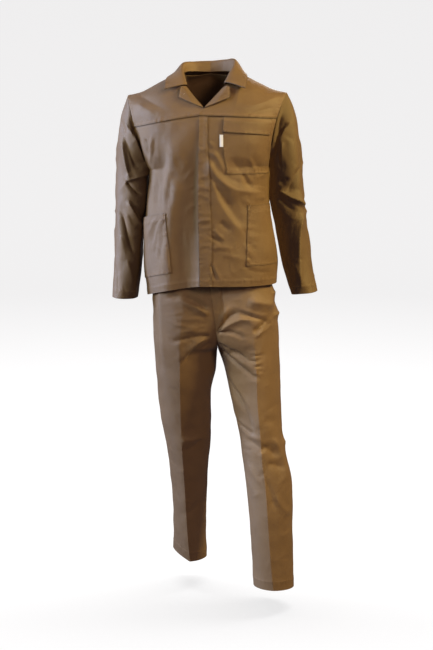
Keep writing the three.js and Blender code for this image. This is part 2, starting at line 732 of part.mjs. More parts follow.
const legStops = [720, 790, 815, 850, sidePocket.foot, sidePocket.foot + 14];
function trousers() {
  const group = new THREE.Group();
  const columns = lines([0, 0.5, 1], 0.125);
  for (const name of ["left", "right"]) {
    const hem = legs[name][0].height;
    const rows = lines([hem, ...legStops, waistSeam], 44);
    const front = legSurface(name, -1);
    piece(group, `trouser_front_${name}`, wall(trimmed(front, mouth), columns, rows));
    piece(group, `trouser_back_${name}`, wall(legSurface(name, 1), columns, rows));
    const facing = { ...front, at: (s, h) => front.at(between(mouth(h), 1, s), h) };
    const facingRows = within(rows, sidePocket.foot, waistSeam).slice(1);
    const pocket = wall(facing, lines([0, 1], 0.34), facingRows, { lift: -cloth - gap });
    piece(group, `side_pocket_${name}`, pocket, materials.twillShade);
  }
  const left = legSurface("left", -1);
  const rows = lines([legs.left[0].height, ...legStops, waistSeam], 44);
  const flyRows = within([...rows, fly.foot].sort((a, b) => a - b), fly.foot, waistSeam);
  const flap = wall(trimmed(left, mouth), [0.004, 0.125], flyRows, { lift: cloth + gap });
  piece(group, "trouser_fly", flap, materials.twillShade);
  const band = wall(waistSurface(), lines([0, 1], 1 / 32), lines([waistSeam, waistTop], 19), { pull: { bottom: 0.4 } });
  piece(group, "waistband", band);
  return group;
}

const suit = new THREE.Group();
suit.add(jacket(), trousers());
suit.position.z = -originHeight;
export default suit;
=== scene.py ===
# Two-piece work suit: hip-length jacket with an open collar, and pressed trousers, worn by nobody.
# Sizes are millimetres above the ground that the wearer stands on, until a mesh is made.
import bpy
import math
import numpy as np
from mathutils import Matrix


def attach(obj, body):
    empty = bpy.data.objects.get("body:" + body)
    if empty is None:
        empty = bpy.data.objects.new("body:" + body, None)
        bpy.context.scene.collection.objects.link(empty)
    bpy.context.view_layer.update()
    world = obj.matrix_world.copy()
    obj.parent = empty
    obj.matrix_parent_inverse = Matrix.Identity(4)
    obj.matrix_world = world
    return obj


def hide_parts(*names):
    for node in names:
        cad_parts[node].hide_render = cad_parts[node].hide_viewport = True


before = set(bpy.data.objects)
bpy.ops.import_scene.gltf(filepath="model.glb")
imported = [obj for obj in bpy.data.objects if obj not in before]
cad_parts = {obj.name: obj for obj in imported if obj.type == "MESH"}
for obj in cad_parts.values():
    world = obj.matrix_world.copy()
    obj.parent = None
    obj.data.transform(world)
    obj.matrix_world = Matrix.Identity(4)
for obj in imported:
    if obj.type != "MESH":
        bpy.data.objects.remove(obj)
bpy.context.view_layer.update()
print("frame loaded, nodes:", len(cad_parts))

suit = {
    "originHeight": 1620,
    "chestTurn": -6,  # degrees, the jacket is turned on the hips
    "hemHeight": 1006,
    "yokeHeight": 1497,
    "armpitHeight": 1352,
    "neckHeight": 1623,
    "backTop": 1650,
    "frontEdge": -8,
    "sideDepth": 4,
    "backDrop": 18,
    "cloth": 1.1,
    "layer": 1.9,  # one layer of cloth on another
    "grid": 4.0,
}
hem, yoke, layer = suit["hemHeight"], suit["yokeHeight"], suit["layer"]
sides = {"left": 1, "right": -1}


# Curves and shaping

def ease(x, low, high):
    t = np.clip((x - low) / (high - low), 0, 1)
    return t * t * (3 - 2 * t)


def blend(a, b, t):
    return a + (b - a) * t


def through(x, y):
    # smooth curve through points, level beyond its ends
    x, y = np.asarray(x, float), np.asarray(y, float)
    last = len(x) - 1
    low = np.maximum(np.arange(len(x)) - 1, 0)
    high = np.minimum(np.arange(len(x)) + 1, last)
    slope = (y[high] - y[low]) / (x[high] - x[low])

    def at(q):
        q = np.clip(q, x[0], x[last])
        i = np.clip(np.searchsorted(x, q, side="right") - 1, 0, last - 1)
        w = x[i + 1] - x[i]
        u = (q - x[i]) / w
        v = 1 - u
        return (v * v * (1 + 2 * u) * y[i] + u * u * (3 - 2 * u) * y[i + 1]
                + w * u * v * (v * slope[i] - u * slope[i + 1]))
    return at


def curves(names, rows):
    columns = list(zip(*rows))
    return {name: through(columns[0], column) for name, column in zip(names.split(), columns)}


def vec(x, y, z):
    return np.stack(np.broadcast_arrays(x, y, z), -1).astype(float)


def bezier(a, b, c, d, s):
    r = (1 - s)[..., None]
    s = s[..., None]
    return r * r * r * a + 3 * r * r * s * b + 3 * r * s * s * c + s * s * s * d


def unit(v):
    return v / np.maximum(np.linalg.norm(v, axis=-1, keepdims=True), 1e-9)


# Folds: each runs along a bent line through three places in its view. width is the half-width, depth is
# positive for a ridge and negative for a trough. near and far are the shares of its length over which it
# rises and dies away, and lean, 0 where a row ends before it, makes the side to the right of its run gentler.
foldNames = "view x1 z1 x2 z2 x3 z3 width depth near far lean".split()
viewDirection = {"front": (0, -1, 0), "back": (0, 1, 0), "left": (1, 0, 0), "right": (-1, 0, 0)}
foldShape = {
    "reach": 3.2,  # half-widths from the run at which a fold has ended
    "widen": (0.75, 0.5),  # a fold widens as it runs out
    "height": 1.12,
    "round": 0.05,  # how blunt its top is
    "crown": 0.22,
    "fall": 1.5,
    "fade": 1.6,
    "dip": (0.16, 2.1, 0.8),  # depth, place and width of the hollow beside it
}


def foldRow(*row):
    return dict(zip(foldNames, [*row, 0]))


def smallCreases(view, count, seed, across, up, angle, depth, width, length):
    # straight little creases, strewn by chance about one angle
    dice = np.random.default_rng(seed)
    rows = []
    for k in range(count):
        x, z = dice.uniform(*across), dice.uniform(*up)
        a = math.radians(angle + 24 * dice.normal())
        half = 0.5 * length * dice.uniform(0.5, 1.4)
        bow = half * dice.uniform(-0.3, 0.3)
        dx, dz = half * math.cos(a), half * math.sin(a)
        run = [x - dx, z - dz, x - bow * math.sin(a), z + bow * math.cos(a), x + dx, z + dz]
        shape = [width * dice.uniform(0.7, 1.5), depth * dice.uniform(0.5, 1.3) * dice.choice([-1, 1])]
        rows.append(foldRow(view, *run, *shape, 0.45, 0.45, dice.uniform(-0.4, 0.4)))
    return rows


def allFolds(creases=(), **views):
    # the folds of each view, then small creases: view, count, seed, across, up, angle, depth, width, length
    folds = [foldRow(view, *row) for view, rows in views.items() for row in rows]
    for row in creases:
        folds += smallCreases(*row)
    return folds


def foldPath(fold, t):
    # the run of a fold in its view, bent through its three places
    path = []
    for axis in "xz":
        first, middle, last = [fold[axis + place] for place in "123"]
        bend = 2 * middle - 0.5 * (first + last)
        path.append((1 - t) ** 2 * first + 2 * t * (1 - t) * bend + t * t * last)
    return path


def foldHeight(folds, point, normal):
    total = np.zeros(point.shape[:-1])
    t = np.linspace(0, 1, 9)
    pieceCount = len(t) - 1
    for fold in folds:
        direction = np.array(viewDirection[fold["view"]], float)
        across = point[..., 1] if fold["view"] in ("left", "right") else point[..., 0]
        up = point[..., 2]
        pathX, pathZ = foldPath(fold, t)
        reach = foldShape["reach"] * fold["width"] * (1 + abs(fold["lean"]))
        inBox = ((across > pathX.min() - reach) & (across < pathX.max() + reach)
                 & (up > pathZ.min() - reach) & (up < pathZ.max() + reach))
        seen = ease(normal @ direction, 0.0, 0.45)
        inBox &= seen > 0
        if not inBox.any():
            continue
        px, pz = across[inBox], up[inBox]
        nearest = np.full(px.shape, 1e9)
        aside = np.zeros(px.shape)
        along = np.zeros(px.shape)
        for k in range(pieceCount):
            dx, dz = pathX[k + 1] - pathX[k], pathZ[k + 1] - pathZ[k]
            length = math.hypot(dx, dz)
            u = ((px - pathX[k]) * dx + (pz - pathZ[k]) * dz) / length ** 2
            # the run goes straight on beyond its two ends
            held = np.clip(u, -3 if k == 0 else 0, 4 if k == pieceCount - 1 else 1)
            away = np.hypot(px - pathX[k] - held * dx, pz - pathZ[k] - held * dz)
            closer = away < nearest
            side = ((px - pathX[k]) * dz - (pz - pathZ[k]) * dx) / length
            nearest = np.where(closer, away, nearest)
            aside = np.where(closer, side, aside)
            along = np.where(closer, (k + held) / pieceCount, along)
        width = fold["width"] * np.where(aside > 0, 1 + fold["lean"], 1 - fold["lean"])
        start, more = foldShape["widen"]
        far = np.abs(aside) / (width * (start + more * np.clip(along, 0, 1)))
        blunt = np.sqrt(far * far + foldShape["round"]) - foldShape["crown"]
        shape = (foldShape["height"] * np.exp(-blunt * foldShape["fall"])
                 * (1 - ease(far, foldShape["fade"], foldShape["reach"])))
        dip, dipPlace, dipWidth = foldShape["dip"]
        shape = shape - dip * np.exp(-((far - dipPlace) / dipWidth) ** 2)
        ends = ease(along, -0.04, fold["near"]) * ease(1 - along, -0.04, fold["far"])
        total[inBox] += fold["depth"] * seen[inBox] * ends * shape
    return total


def ripple(point, size, seed):
    # slow uneven swell, the same on each run
    dice = np.random.default_rng(seed)
    total = np.zeros(point.shape[:-1])
    for k in range(9):
        direction = unit(dice.normal(size=3) * np.array([1.3, 1.0, 0.55]))
        length = size * dice.uniform(0.7, 1.6)
        total += np.sin(point @ direction * 2 * math.pi / length + dice.uniform(0, 6.28))
    return total / 3


def crumple(point, seed):
    # flat facets that meet in faint creases, as in cloth that has been folded and worn
    dice = np.random.default_rng(seed)
    total = np.zeros(point.shape[:-1])
    shortest, longest = 38, 95
    for k in range(7):
        direction = unit(dice.normal(size=3) * np.array([1.0, 0.6, 1.0]))
        other = unit(np.cross(direction, dice.normal(size=3)))
        length = dice.uniform(shortest, longest)
        bend = 0.35 * np.sin(point @ other * 2 * math.pi / (length * 2.3) + dice.uniform(0, 6.28))
        phase = point @ direction / length + bend + dice.uniform(0, 1)
        tent = 4 * np.abs(phase - np.floor(phase + 0.5)) - 1
        patch = 0.5 + 0.5 * np.sin(point @ other * 2 * math.pi / (length * 3.1) + dice.uniform(0, 6.28))
        total += tent * patch * length / longest
    return total


def drape(table, point):
    # broad hang of the cloth: each row is a height with how far the cloth stands out at the places in across
    levels = np.array([row[0] for row in table["rows"]], float)
    bands = np.stack([through(table["across"], row[1:])(point[..., 0]) for row in table["rows"]])
    up, last = point[..., 2], len(levels) - 1
    i = np.clip(np.searchsorted(levels, up, side="right") - 1, 0, last - 1)
    a, b, c, d = [np.take_along_axis(bands, np.clip(i + k, 0, last)[None], 0)[0] for k in (-1, 0, 1, 2)]
    u = np.clip((up - levels[i]) / (levels[i + 1] - levels[i]), 0, 1)
    cubic = (3 * b - a - 3 * c + d) * u ** 3
    return 0.5 * (2 * b + (c - a) * u + (2 * a - 5 * b + 4 * c - d) * u * u + cubic)


clothSwell = {"length": 120, "crumple": 0.5, "crumpleSeed": 40}


class Form:
    # A surface s, h -> point, with folds. facing turns its normal to the outside. low, high and step are the
    # limits of s and h and the step of h where its slope is taken, hang is a table for drape, and calm(s, h)
    # is the share of the folds' height that is left.
    def __init__(self, at, facing, folds=(), swell=0.0, seed=1, low=(0, 0), high=(1, 1), step=1.0,
                 hang=None, calm=None):
        self.at, self.facing, self.folds = at, facing, folds
        self.swell, self.seed, self.hang, self.calm = swell, seed, hang, calm
        self.low, self.high, self.step = low, high, step

    def slope(self, s, h):
        s0, s1 = np.maximum(s - 0.002, self.low[0]), np.minimum(s + 0.002, self.high[0])
        h0, h1 = np.maximum(h - self.step, self.low[1]), np.minimum(h + self.step, self.high[1])
        at = self.at
        return self.facing * unit(np.cross(at(s1, h) - at(s0, h), at(s, h1) - at(s, h0)))

    def point(self, s, h):
        plain = self.at(s, h)
        if not self.folds and not self.swell:
            return plain
        normal = self.slope(s, h)
        height = foldHeight(self.folds, plain, normal)
        if self.swell:
            height = height + self.swell * ripple(plain, clothSwell["length"], self.seed)
            height = height + clothSwell["crumple"] * crumple(plain, self.seed + clothSwell["crumpleSeed"])
        if self.hang:
            height = height + drape(self.hang, plain) * ease(-normal[..., 1], 0.1, 0.6)
        if self.calm:
            height = height * self.calm(s, h)
        return plain + normal * height[..., None]


# Jacket: the tables give its cut as it hangs

jacketCut = {
    "front": curves("height depth roll", [
        [1000, -150, 0], [1060, -148, 0], [1130, -145, 0], [1200, -143, 0], [1280, -142, 0],
        [1352, -137, 0], [1405, -131, 0], [1455, -123, 0], [1497, -114, 0], [1520, -107, 1],
        [1545, -96, 23], [1584, -68, 58], [1608, -36, 70], [1623, 2, 76]]),
    "back": curves("height depth", [
        [1000, 153], [1060, 144], [1130, 127], [1200, 114], [1280, 110], [1352, 114],
        [1420, 117], [1490, 114], [1545, 104], [1590, 88], [1622, 66], [1650, 5]]),
    "side": {
        "left": curves("height out drop", [
            [1000, 206, 4], [1060, 209, 2], [1107, 206, 0], [1171, 194, 0], [1237, 184, 0],
            [1290, 183, 0], [1352, 186, 0]]),
        "right": curves("height out drop", [
            [1000, 184, 46], [1060, 192, 45], [1107, 195, 44], [1171, 194, 42], [1237, 191, 38],
            [1290, 184, 28], [1352, 177, 14]]),
    },
    "armhole": {
        "left": {"tip": (234, 1564), "pit": (186, 1352), "half": 62, "scoop": 11},
        "right": {"tip": (240, 1559), "pit": (177, 1338), "half": 62, "scoop": 2},
    },
    "armholeFront": curves("height left right out", [
        [1352, 180, 180, 90], [1405, 125, 126, 72], [1455, 97, 101, 60], [1497, 72, 81, 50],
        [1545, 48, 54, 40], [1584, 27, 30, 26], [1608, 12, 13, 12], [1623, 0, 0, 0]]),
    "armholeBack": curves("height left right out", [
        [1352, 180, 180, 90], [1420, 120, 122, 72], [1490, 80, 82, 54], [1545, 53, 54, 40],
        [1590, 30, 30, 26], [1622, 13, 13, 12], [1650, 0, 0, 0]]),
    "skew": (0.28, 1250, 1060),  # the lower fronts' lines lean to the centre between these heights
    "rollRise": (1500, 1521),  # where the front edge rolls out into the lapel
    "fullness": 0.42,
    "neckWidth": 0.3,
    "neckDip": 26,
    "hang": {
        # the right front falls from a ridge below the shoulder into a hollow along the placket
        "across": [-190, -165, -150, -137, -122, -112, -104, -95, -86, -76, -60, -42, -24, -8],
        "rows": [
            [1006, 0, 0, 2, 4, 7, 8.5, 8, 5, 1, -3, -9, -12, -7, 3],
            [1060, 0, 0, 1, 3, 7, 9.5, 9, 6, 1.5, -3, -10, -12, -7, 0],
            [1120, 0, 0, 0, 2, 6, 9.5, 9.5, 6.5, 2, -3, -9, -11, -10, -4],
            [1180, 0, 0, 0, 2, 5, 8, 9.5, 8.5, 5, 0, -7, -11, -13, -6],
            [1230, 0, 0, 0, 1, 4, 8, 8, 8.5, 6, 1.5, -5, -10, -13, -6],
            [1280, 0, 0, 1, 0, 1, 8, 6, 3.5, 7, 4.5, -2.5, -8.5, -12.5, -6],
            [1320, 0, 1, 2, 0, -2, 3, 9, 6.5, 4, 1.5, -3.5, -9, -12.5, -6],
            [1360, 0, 1, 3, -1, -4, -2, 4, 8, 7, 4, 0, -5, -8.5, -4],
            [1400, 0, 1.5, 2.5, -1, -3, -2, 1, 4, 4.5, 3.5, 1.5, -1, -3, -2],
            [1440, 0, 0.5, 0.5, 0, -0.5, -0.2, 0.3, 0.8, 1, 1.2, 1, 0.6, 0, -0.5],
            [1480, 0, 0, 0, 0, 0, 0, 0, 0, 0, 0, 0, 0, -0.5, 0],
            [1520, 0, 0, 0, 0, 0, 0, 0, 0, 0, 0, 0, 0, 0, 0]]},
}
frontFolds = allFolds(
    front=[
        # right front
        [-172, 1432, -165, 1406, -159, 1371, 6, -4, 0.2, 0.3, 0.3],
        [-143, 1430, -148, 1392, -155, 1340, 6, -2, 0.2, 0.4],
        [-151, 1446, -156, 1400, -166, 1330, 5, 2, 0.25, 0.3],
        [-140, 1330, -136, 1290, -138, 1236, 5, -2, 0.3, 0.4],
        [-154, 1320, -150, 1270, -152, 1230, 5, 2, 0.3, 0.4],
        [-30, 1340, -42, 1330, -56, 1300, 6, 2, 0.2, 0.5],
        [-26, 1240, -40, 1232, -52, 1206, 6, 2, 0.2, 0.5],
        [-26, 1290, -36, 1284, -46, 1270, 5, -1.8, 0.2, 0.5],
        # the hip pocket hangs in streaks from its upper front corner
        [-116, 1208, -134, 1160, -150, 1102, 5, 2.6, 0.15, 0.4, -0.2],
        [-118, 1196, -128, 1140, -134, 1076, 5, 2.4, 0.2, 0.4, -0.2],
        [-134, 1206, -156, 1170, -172, 1128, 5, 2.4, 0.2, 0.4, -0.2],
        [-112, 1150, -120, 1110, -122, 1080, 4, -1.6, 0.3, 0.4],
        # left front
        [18, 1372, 72, 1298, 182, 1276, 14, 6.5, 0.1, 0.25, 0.3],
        [22, 1330, 52, 1276, 82, 1200, 12, -3.8, 0.12, 0.3],
        [26, 1326, 56, 1240, 126, 1148, 13, 4.2, 0.15, 0.2, 0.2],
        [64, 1270, 88, 1218, 118, 1180, 12, -3, 0.25, 0.3],
        [116, 1330, 128, 1306, 142, 1286, 6, -4.5, 0.1, 0.4, 0.2],
        [78, 1376, 98, 1354, 116, 1330, 13, -2.6, 0.25, 0.3],
        [128, 1384, 138, 1360, 146, 1340, 6, 2, 0.3, 0.3],
        [24, 1409, 46, 1368, 66, 1330, 9, 3, 0.3, 0.3, 0.2],
        [48, 1196, 66, 1180, 82, 1166, 8, -3, 0.2, 0.3],
        [22, 1150, 40, 1143, 58, 1130, 4.5, -3.4, 0.15, 0.3],
        [30, 1172, 44, 1160, 60, 1142, 4.5, 3, 0.2, 0.3],
        [22, 1118, 60, 1120, 96, 1112, 8, 2.5, 0.2, 0.4],
        [124, 1066, 152, 1048, 206, 1042, 7, -1.8, 0.12, 0.3, 0.2],
        [23, 1072, 33, 1046, 47, 1018, 4, -3, 0.12, 0.35],
        [30, 1072, 41, 1046, 55, 1018, 5, 2, 0.2, 0.3],
        [44, 1100, 90, 1092, 118, 1080, 12, 2.2, 0.3, 0.4],
        [134, 1356, 146, 1338, 152, 1318, 7, 2, 0.3, 0.3],
        [16, 1424, 28, 1413, 42, 1410, 5, 2.2, 0.1, 0.5],
        [16, 1398, 30, 1386, 46, 1380, 5, 2.2, 0.1, 0.5],
        [178, 1334, 158, 1322, 140, 1320, 8, 2.5, 0.1, 0.6],
        [176, 1258, 158, 1262, 140, 1256, 7, 2, 0.1, 0.6],
        # yokes
        [-214, 1566, -160, 1538, -96, 1506, 17, -3.5, 0.2, 0.4],
        [-206, 1534, -170, 1516, -140, 1500, 13, 2.5, 0.2, 0.4],
        [214, 1556, 160, 1530, 96, 1520, 14, 2.5, 0.2, 0.5],
        [196, 1524, 150, 1508, 110, 1506, 10, -2, 0.2, 0.5],
        [90, 1590, 96, 1550, 84, 1512, 14, 2, 0.3, 0.4]],
    creases=[
        ["front", 26, 61, (-150, -20), (1020, 1460), -78, 0.9, 5, 60],
        ["front", 30, 62, (30, 170), (1020, 1330), -42, 1.1, 5, 50]])
backFolds = allFolds(
    back=[
        [176, 1370, 130, 1345, 60, 1300, 13, 6, 0.12, 0.5, 0.4],
        [-170, 1360, -128, 1335, -62, 1296, 13, 6, 0.12, 0.5, -0.4],
        [150, 1460, 118, 1360, 70, 1230, 20, 6, 0.25, 0.5, 0.3],
        [-152, 1460, -116, 1360, -66, 1250, 20, 6, 0.25, 0.5, -0.3],
        [0, 1420, 14, 1260, 6, 1100, 26, -6, 0.3, 0.4],
        [160, 1250, 126, 1160, 104, 1050, 15, -6, 0.25, 0.4, 0.3],
        [-150, 1240, -112, 1150, -96, 1040, 15, -6, 0.25, 0.4, -0.3],
        [60, 1210, 46, 1120, 50, 1010, 15, 5, 0.3, 0.2],
        [-40, 1180, -50, 1090, -44, 1000, 15, 5, 0.3, 0.2],
        [184, 1300, 150, 1270, 100, 1262, 9, -4, 0.1, 0.6],
        [-178, 1290, -150, 1262, -104, 1256, 9, -4, 0.1, 0.6]])


def bodyPoint(sideName, face, s, height):
    side, cut = sides[sideName], jacketCut
    seam, hole = cut["side"][sideName], cut["armhole"][sideName]
    centre = cut["front"] if face < 0 else cut["back"]
    arm = cut["armholeFront"] if face < 0 else cut["armholeBack"]
    startX = np.zeros_like(height)
    startZ = height + 0.0
    if face < 0:
        low, high = cut["rollRise"]
        rolled = side * centre["roll"](height)
        straight = blend(suit["frontEdge"], rolled, ease(height, low, high))
        startX = np.where(height < yoke + 24, straight, rolled)
    else:
        fall = suit["armpitHeight"] - hem
        startZ = height - suit["backDrop"] * ease(suit["armpitHeight"] - height, 0, fall)
    start = vec(startX, centre["depth"](height), startZ)
    belowArm = height <= suit["armpitHeight"]
    turn = np.radians(arm[sideName](height))
    tip, pit = hole["tip"], hole["pit"]
    up = 0.5 + 0.5 * np.cos(turn)
    armEnd = vec(side * (blend(pit[0], tip[0], up) - hole["scoop"] * np.sin(turn) ** 2),
                 suit["sideDepth"] + face * hole["half"] * np.sin(turn), blend(pit[1], tip[1], up))
    seamEnd = vec(side * seam["out"](height), suit["sideDepth"], height - seam["drop"](height))
    end = np.where(belowArm[..., None], seamEnd, armEnd)
    out = np.radians(np.where(belowArm, 90, arm["out"](height)))
    chord = np.linalg.norm(start - end, axis=-1)
    first = start + vec(side * chord * cut["fullness"], 0, 0)
    first[..., 2] = blend(start[..., 2], end[..., 2], 0.25)
    second = vec(end[..., 0] - side * np.cos(out) * chord * cut["fullness"],
                 end[..., 1] + face * np.sin(out) * chord * cut["fullness"],
                 blend(start[..., 2], end[..., 2], 0.8))
    return bezier(start, first, second, end, s)


def skewed(s, h):
    skew, top, foot = jacketCut["skew"]
    return s - skew * s * (1 - s) * ease(top - h, 0, top - foot)


def backPoint(s, v):
    inside = np.minimum(1, np.abs(s) / jacketCut["neckWidth"])
    highest = suit["backTop"] - jacketCut["neckDip"] * np.sqrt(np.maximum(0, 1 - inside * inside))
    height = blend(hem, highest, v)
    left, right = [bodyPoint(name, 1, np.abs(s), height) for name in sides]
    return np.where((s >= 0)[..., None], left, right)


def frontForm(sideName):
    return Form(lambda s, h: bodyPoint(sideName, -1, skewed(s, h), h), sides[sideName], frontFolds,
                swell=0.7, seed=3, low=(-0.2, hem), high=(1, suit["neckHeight"]),
                hang=jacketCut["hang"] if sideName == "right" else None,
                calm=lambda s, h: blend(0.3, 1, ease(1 - s, 0, 0.05)))


# Sleeves

sleeveCut = {
    "left": curves("at outX outZ inX inZ half back", [
        [0, 234, 1564, 187, 1350, 62, 4], [0.07, 252, 1521, 191, 1338, 70, 6],
        [0.14, 263, 1480, 192, 1322, 75, 8], [0.22, 270, 1430, 190, 1299, 77, 10],
        [0.31, 275, 1375, 187, 1270, 76, 12], [0.39, 280, 1325, 187, 1240, 73, 13],
        [0.48, 287, 1270, 191, 1206, 70, 13], [0.56, 292, 1220, 199, 1173, 67, 11],
        [0.64, 298, 1168, 206, 1134, 65, 7], [0.73, 305, 1115, 214, 1095, 62, 1],
        [0.82, 313, 1068, 224, 1057, 59, -6], [0.91, 322, 1024, 238, 1017, 57, -14],
        [1, 331, 982, 253, 976, 54, -22]]),
    "right": curves("at outX outZ inX inZ half back", [
        [0, 240, 1559, 179, 1335, 61, 4], [0.07, 258, 1512, 185, 1323, 70, 6],
        [0.14, 267, 1470, 187, 1307, 75, 8], [0.22, 273, 1422, 187, 1284, 77, 10],
        [0.31, 278, 1368, 188, 1258, 76, 12], [0.39, 281, 1318, 191, 1230, 73, 13],
        [0.48, 283, 1264, 196, 1197, 70, 13], [0.56, 284, 1210, 198, 1163, 67, 11],
        [0.64, 285, 1155, 198, 1124, 65, 7], [0.73, 286, 1100, 199, 1084, 62, 1],
        [0.82, 287, 1050, 202, 1043, 59, -6], [0.91, 289, 1004, 208, 1000, 57, -14],
        [1, 291, 957, 215, 954, 54, -22]]),
    # room between arm and side: over the body, over a pocket, and how the side curves away
    "clear": {"body": 1.7, "pocket": 4, "curve": 280, "soft": 2.5, "head": 0.06},
    "lapEase": (30, 20, 24),
    "lap": {"left": (13, 1232, 1400), "right": (12, 1190, 1345)},  # the upper arm is held to the side
    "hang": {  # the fronts of both sleeves are turned towards the left of the body
        "left": {
            "across": [200, 215, 230, 245, 256, 264, 272, 280, 290, 310],
            "rows": [
                [1530, 0, 0, 0, 0, 0, 0, 0, 0, 0, 0], [1470, -7, -6, -3, 1, 5, 8, 9, 6, 2, 0],
                [1400, -6, -7, -5, 0, 6, 11, 12, 8, 3, 0], [1330, -6, -7, -5, 0, 6, 12, 14, 10, 4, 0],
                [1270, -5, -5, -3, 0, 4, 8, 10, 10, 5, 0], [1210, -7, -6, -5, -2, 1, 4, 8, 12, 11, 2],
                [1140, -6, -6, -3, 1, 5, 8, 10, 8, 4, 0], [1070, -6, -6, -4, 0, 4, 7, 9, 9, 4, 0],
                [980, -5, -5, -5, -2, 1, 4, 7, 9, 8, 2]]},
        "right": {
            "across": [-290, -270, -255, -240, -228, -216, -204, -192, -180],
            "rows": [
                [1240, 0, 0, 0, 0, 0, 0, 0, 0, 0], [1200, 0, 0, -1, -1, 1, 3, 5, 6, 6],
                [1140, 0, -1, -2, -1, 1, 4, 7, 9, 9], [1080, 0, -2, -3, -1, 2, 5, 8, 10, 10],
                [960, 0, -2, -3, -1, 2, 5, 8, 10, 10]]},
    },
}
sleeveFolds = {
    "left": allFolds(
        front=[
            [224, 1500, 202, 1430, 192, 1372, 8, -4.5, 0.12, 0.2],
            [248, 1484, 226, 1451, 206, 1410, 8, 5.5, 0.2, 0.3, -0.3],
            [238, 1478, 222, 1460, 206, 1434, 7, -4.5, 0.2, 0.3],
            [224, 1424, 222, 1390, 224, 1350, 8, 3.5, 0.2, 0.3, -0.2],
            [212, 1392, 214, 1366, 220, 1340, 9, -2.5, 0.2, 0.3],
            [240, 1320, 234, 1309, 208, 1302, 8, -5, 0.25, 0.25],
            [272, 1352, 257, 1316, 240, 1272, 6, -3.5, 0.15, 0.3],
            [214, 1280, 244, 1264, 292, 1232, 8, 9, 0.15, 0.12, -0.45],
            [208, 1258, 238, 1238, 276, 1212, 13, -5, 0.2, 0.3],
            [284, 1216, 272, 1130, 288, 992, 11, 7, 0.12, 0.08, -0.35],
            [258, 1070, 272, 1048, 282, 1018, 6, 3, 0.2, 0.3],
            [236, 1100, 250, 1050, 268, 990, 10, -3, 0.3, 0.3]],
        back=[
            [196, 1450, 224, 1380, 250, 1320, 14, -8, 0.15, 0.4],
            [192, 1262, 240, 1296, 280, 1300, 12, -9, 0.1, 0.4],
            [200, 1226, 246, 1236, 290, 1250, 11, 8, 0.1, 0.4],
            [204, 1196, 244, 1204, 282, 1226, 9, -5, 0.1, 0.4],
            [230, 1180, 262, 1120, 290, 1060, 13, -5, 0.25, 0.4]],
        left=[
            [0, 1440, 20, 1380, 36, 1300, 14, 4.5, 0.3, 0.4],
            [-10, 1252, 20, 1244, 56, 1262, 10, -5, 0.3, 0.4],
            [-6, 1222, 20, 1216, 52, 1226, 8, 3.5, 0.3, 0.4],
            [-20, 1180, 6, 1130, 20, 1060, 14, 2.5, 0.3, 0.4]],
        creases=[
            ["front", 14, 63, (200, 300), (1000, 1440), -50, 1.1, 5, 40],
            ["left", 12, 64, (-50, 50), (1000, 1440), 40, 1.2, 5, 46],
            ["back", 12, 65, (200, 300), (1000, 1440), 50, 1.2, 5, 46]]),
    "right": allFolds(
        front=[
            [-251, 1446, -237, 1365, -225, 1314, 9, 6.5, 0.3, 0.12, 0.5],
            [-246, 1446, -222, 1384, -200, 1334, 11, -6, 0.3, 0.3],
            [-240, 1482, -199, 1406, -170, 1340, 9, 7, 0.2, 0.15, 0.3],
            [-224, 1496, -190, 1418, -166, 1352, 7, -12, 0.12, 0.12, -0.2],
            [-262, 1488, -250, 1462, -236, 1440, 9, -4, 0.2, 0.4],
            [-240, 1306, -205, 1319, -168, 1338, 8, 8, 0.1, 0.15, -0.5],
            [-236, 1304, -216, 1281, -196, 1266, 6, -7, 0.1, 0.3],
            [-233, 1250, -208, 1182, -186, 1095, 11, 9, 0.12, 0.15, 0.5],
            [-262, 1212, -236, 1148, -217, 1080, 10, -8, 0.15, 0.3],
            [-240, 1075, -228, 1030, -222, 962, 11, 4.5, 0.3, 0.1, 0.4],
            [-272, 1060, -268, 1010, -268, 962, 6, -2, 0.3, 0.2]],
        back=[
            [-196, 1450, -224, 1380, -250, 1320, 14, -8, 0.15, 0.4],
            [-194, 1256, -240, 1290, -276, 1296, 12, -9, 0.1, 0.4],
            [-196, 1220, -240, 1230, -280, 1246, 11, 8, 0.1, 0.4],
            [-200, 1190, -236, 1200, -274, 1220, 9, -5, 0.1, 0.4],
            [-220, 1180, -250, 1120, -264, 1050, 13, -5, 0.25, 0.4]],
        right=[
            [0, 1430, 16, 1370, 32, 1300, 14, 4.5, 0.3, 0.4],
            [-10, 1248, 20, 1240, 56, 1258, 10, -5, 0.3, 0.4],
            [-6, 1218, 20, 1212, 52, 1222, 8, 3.5, 0.3, 0.4],
            [-20, 1170, 6, 1120, 20, 1050, 14, 2.5, 0.3, 0.4]],
        creases=[
            ["front", 14, 66, (-285, -190), (980, 1440), 55, 1.1, 5, 40],
            ["right", 12, 67, (-50, 50), (980, 1440), 40, 1.2, 5, 46],
            ["back", 12, 68, (-285, -190), (980, 1440), -50, 1.2, 5, 46]]),
}
hipPockets = {
    "left": {"from": 0.5, "to": 0.97, "bottom": 1066, "top": 1241, "gape": 5},
    "right": {"from": 0.36, "to": 0.955, "bottom": 1056, "top": 1232, "gape": 6},
}


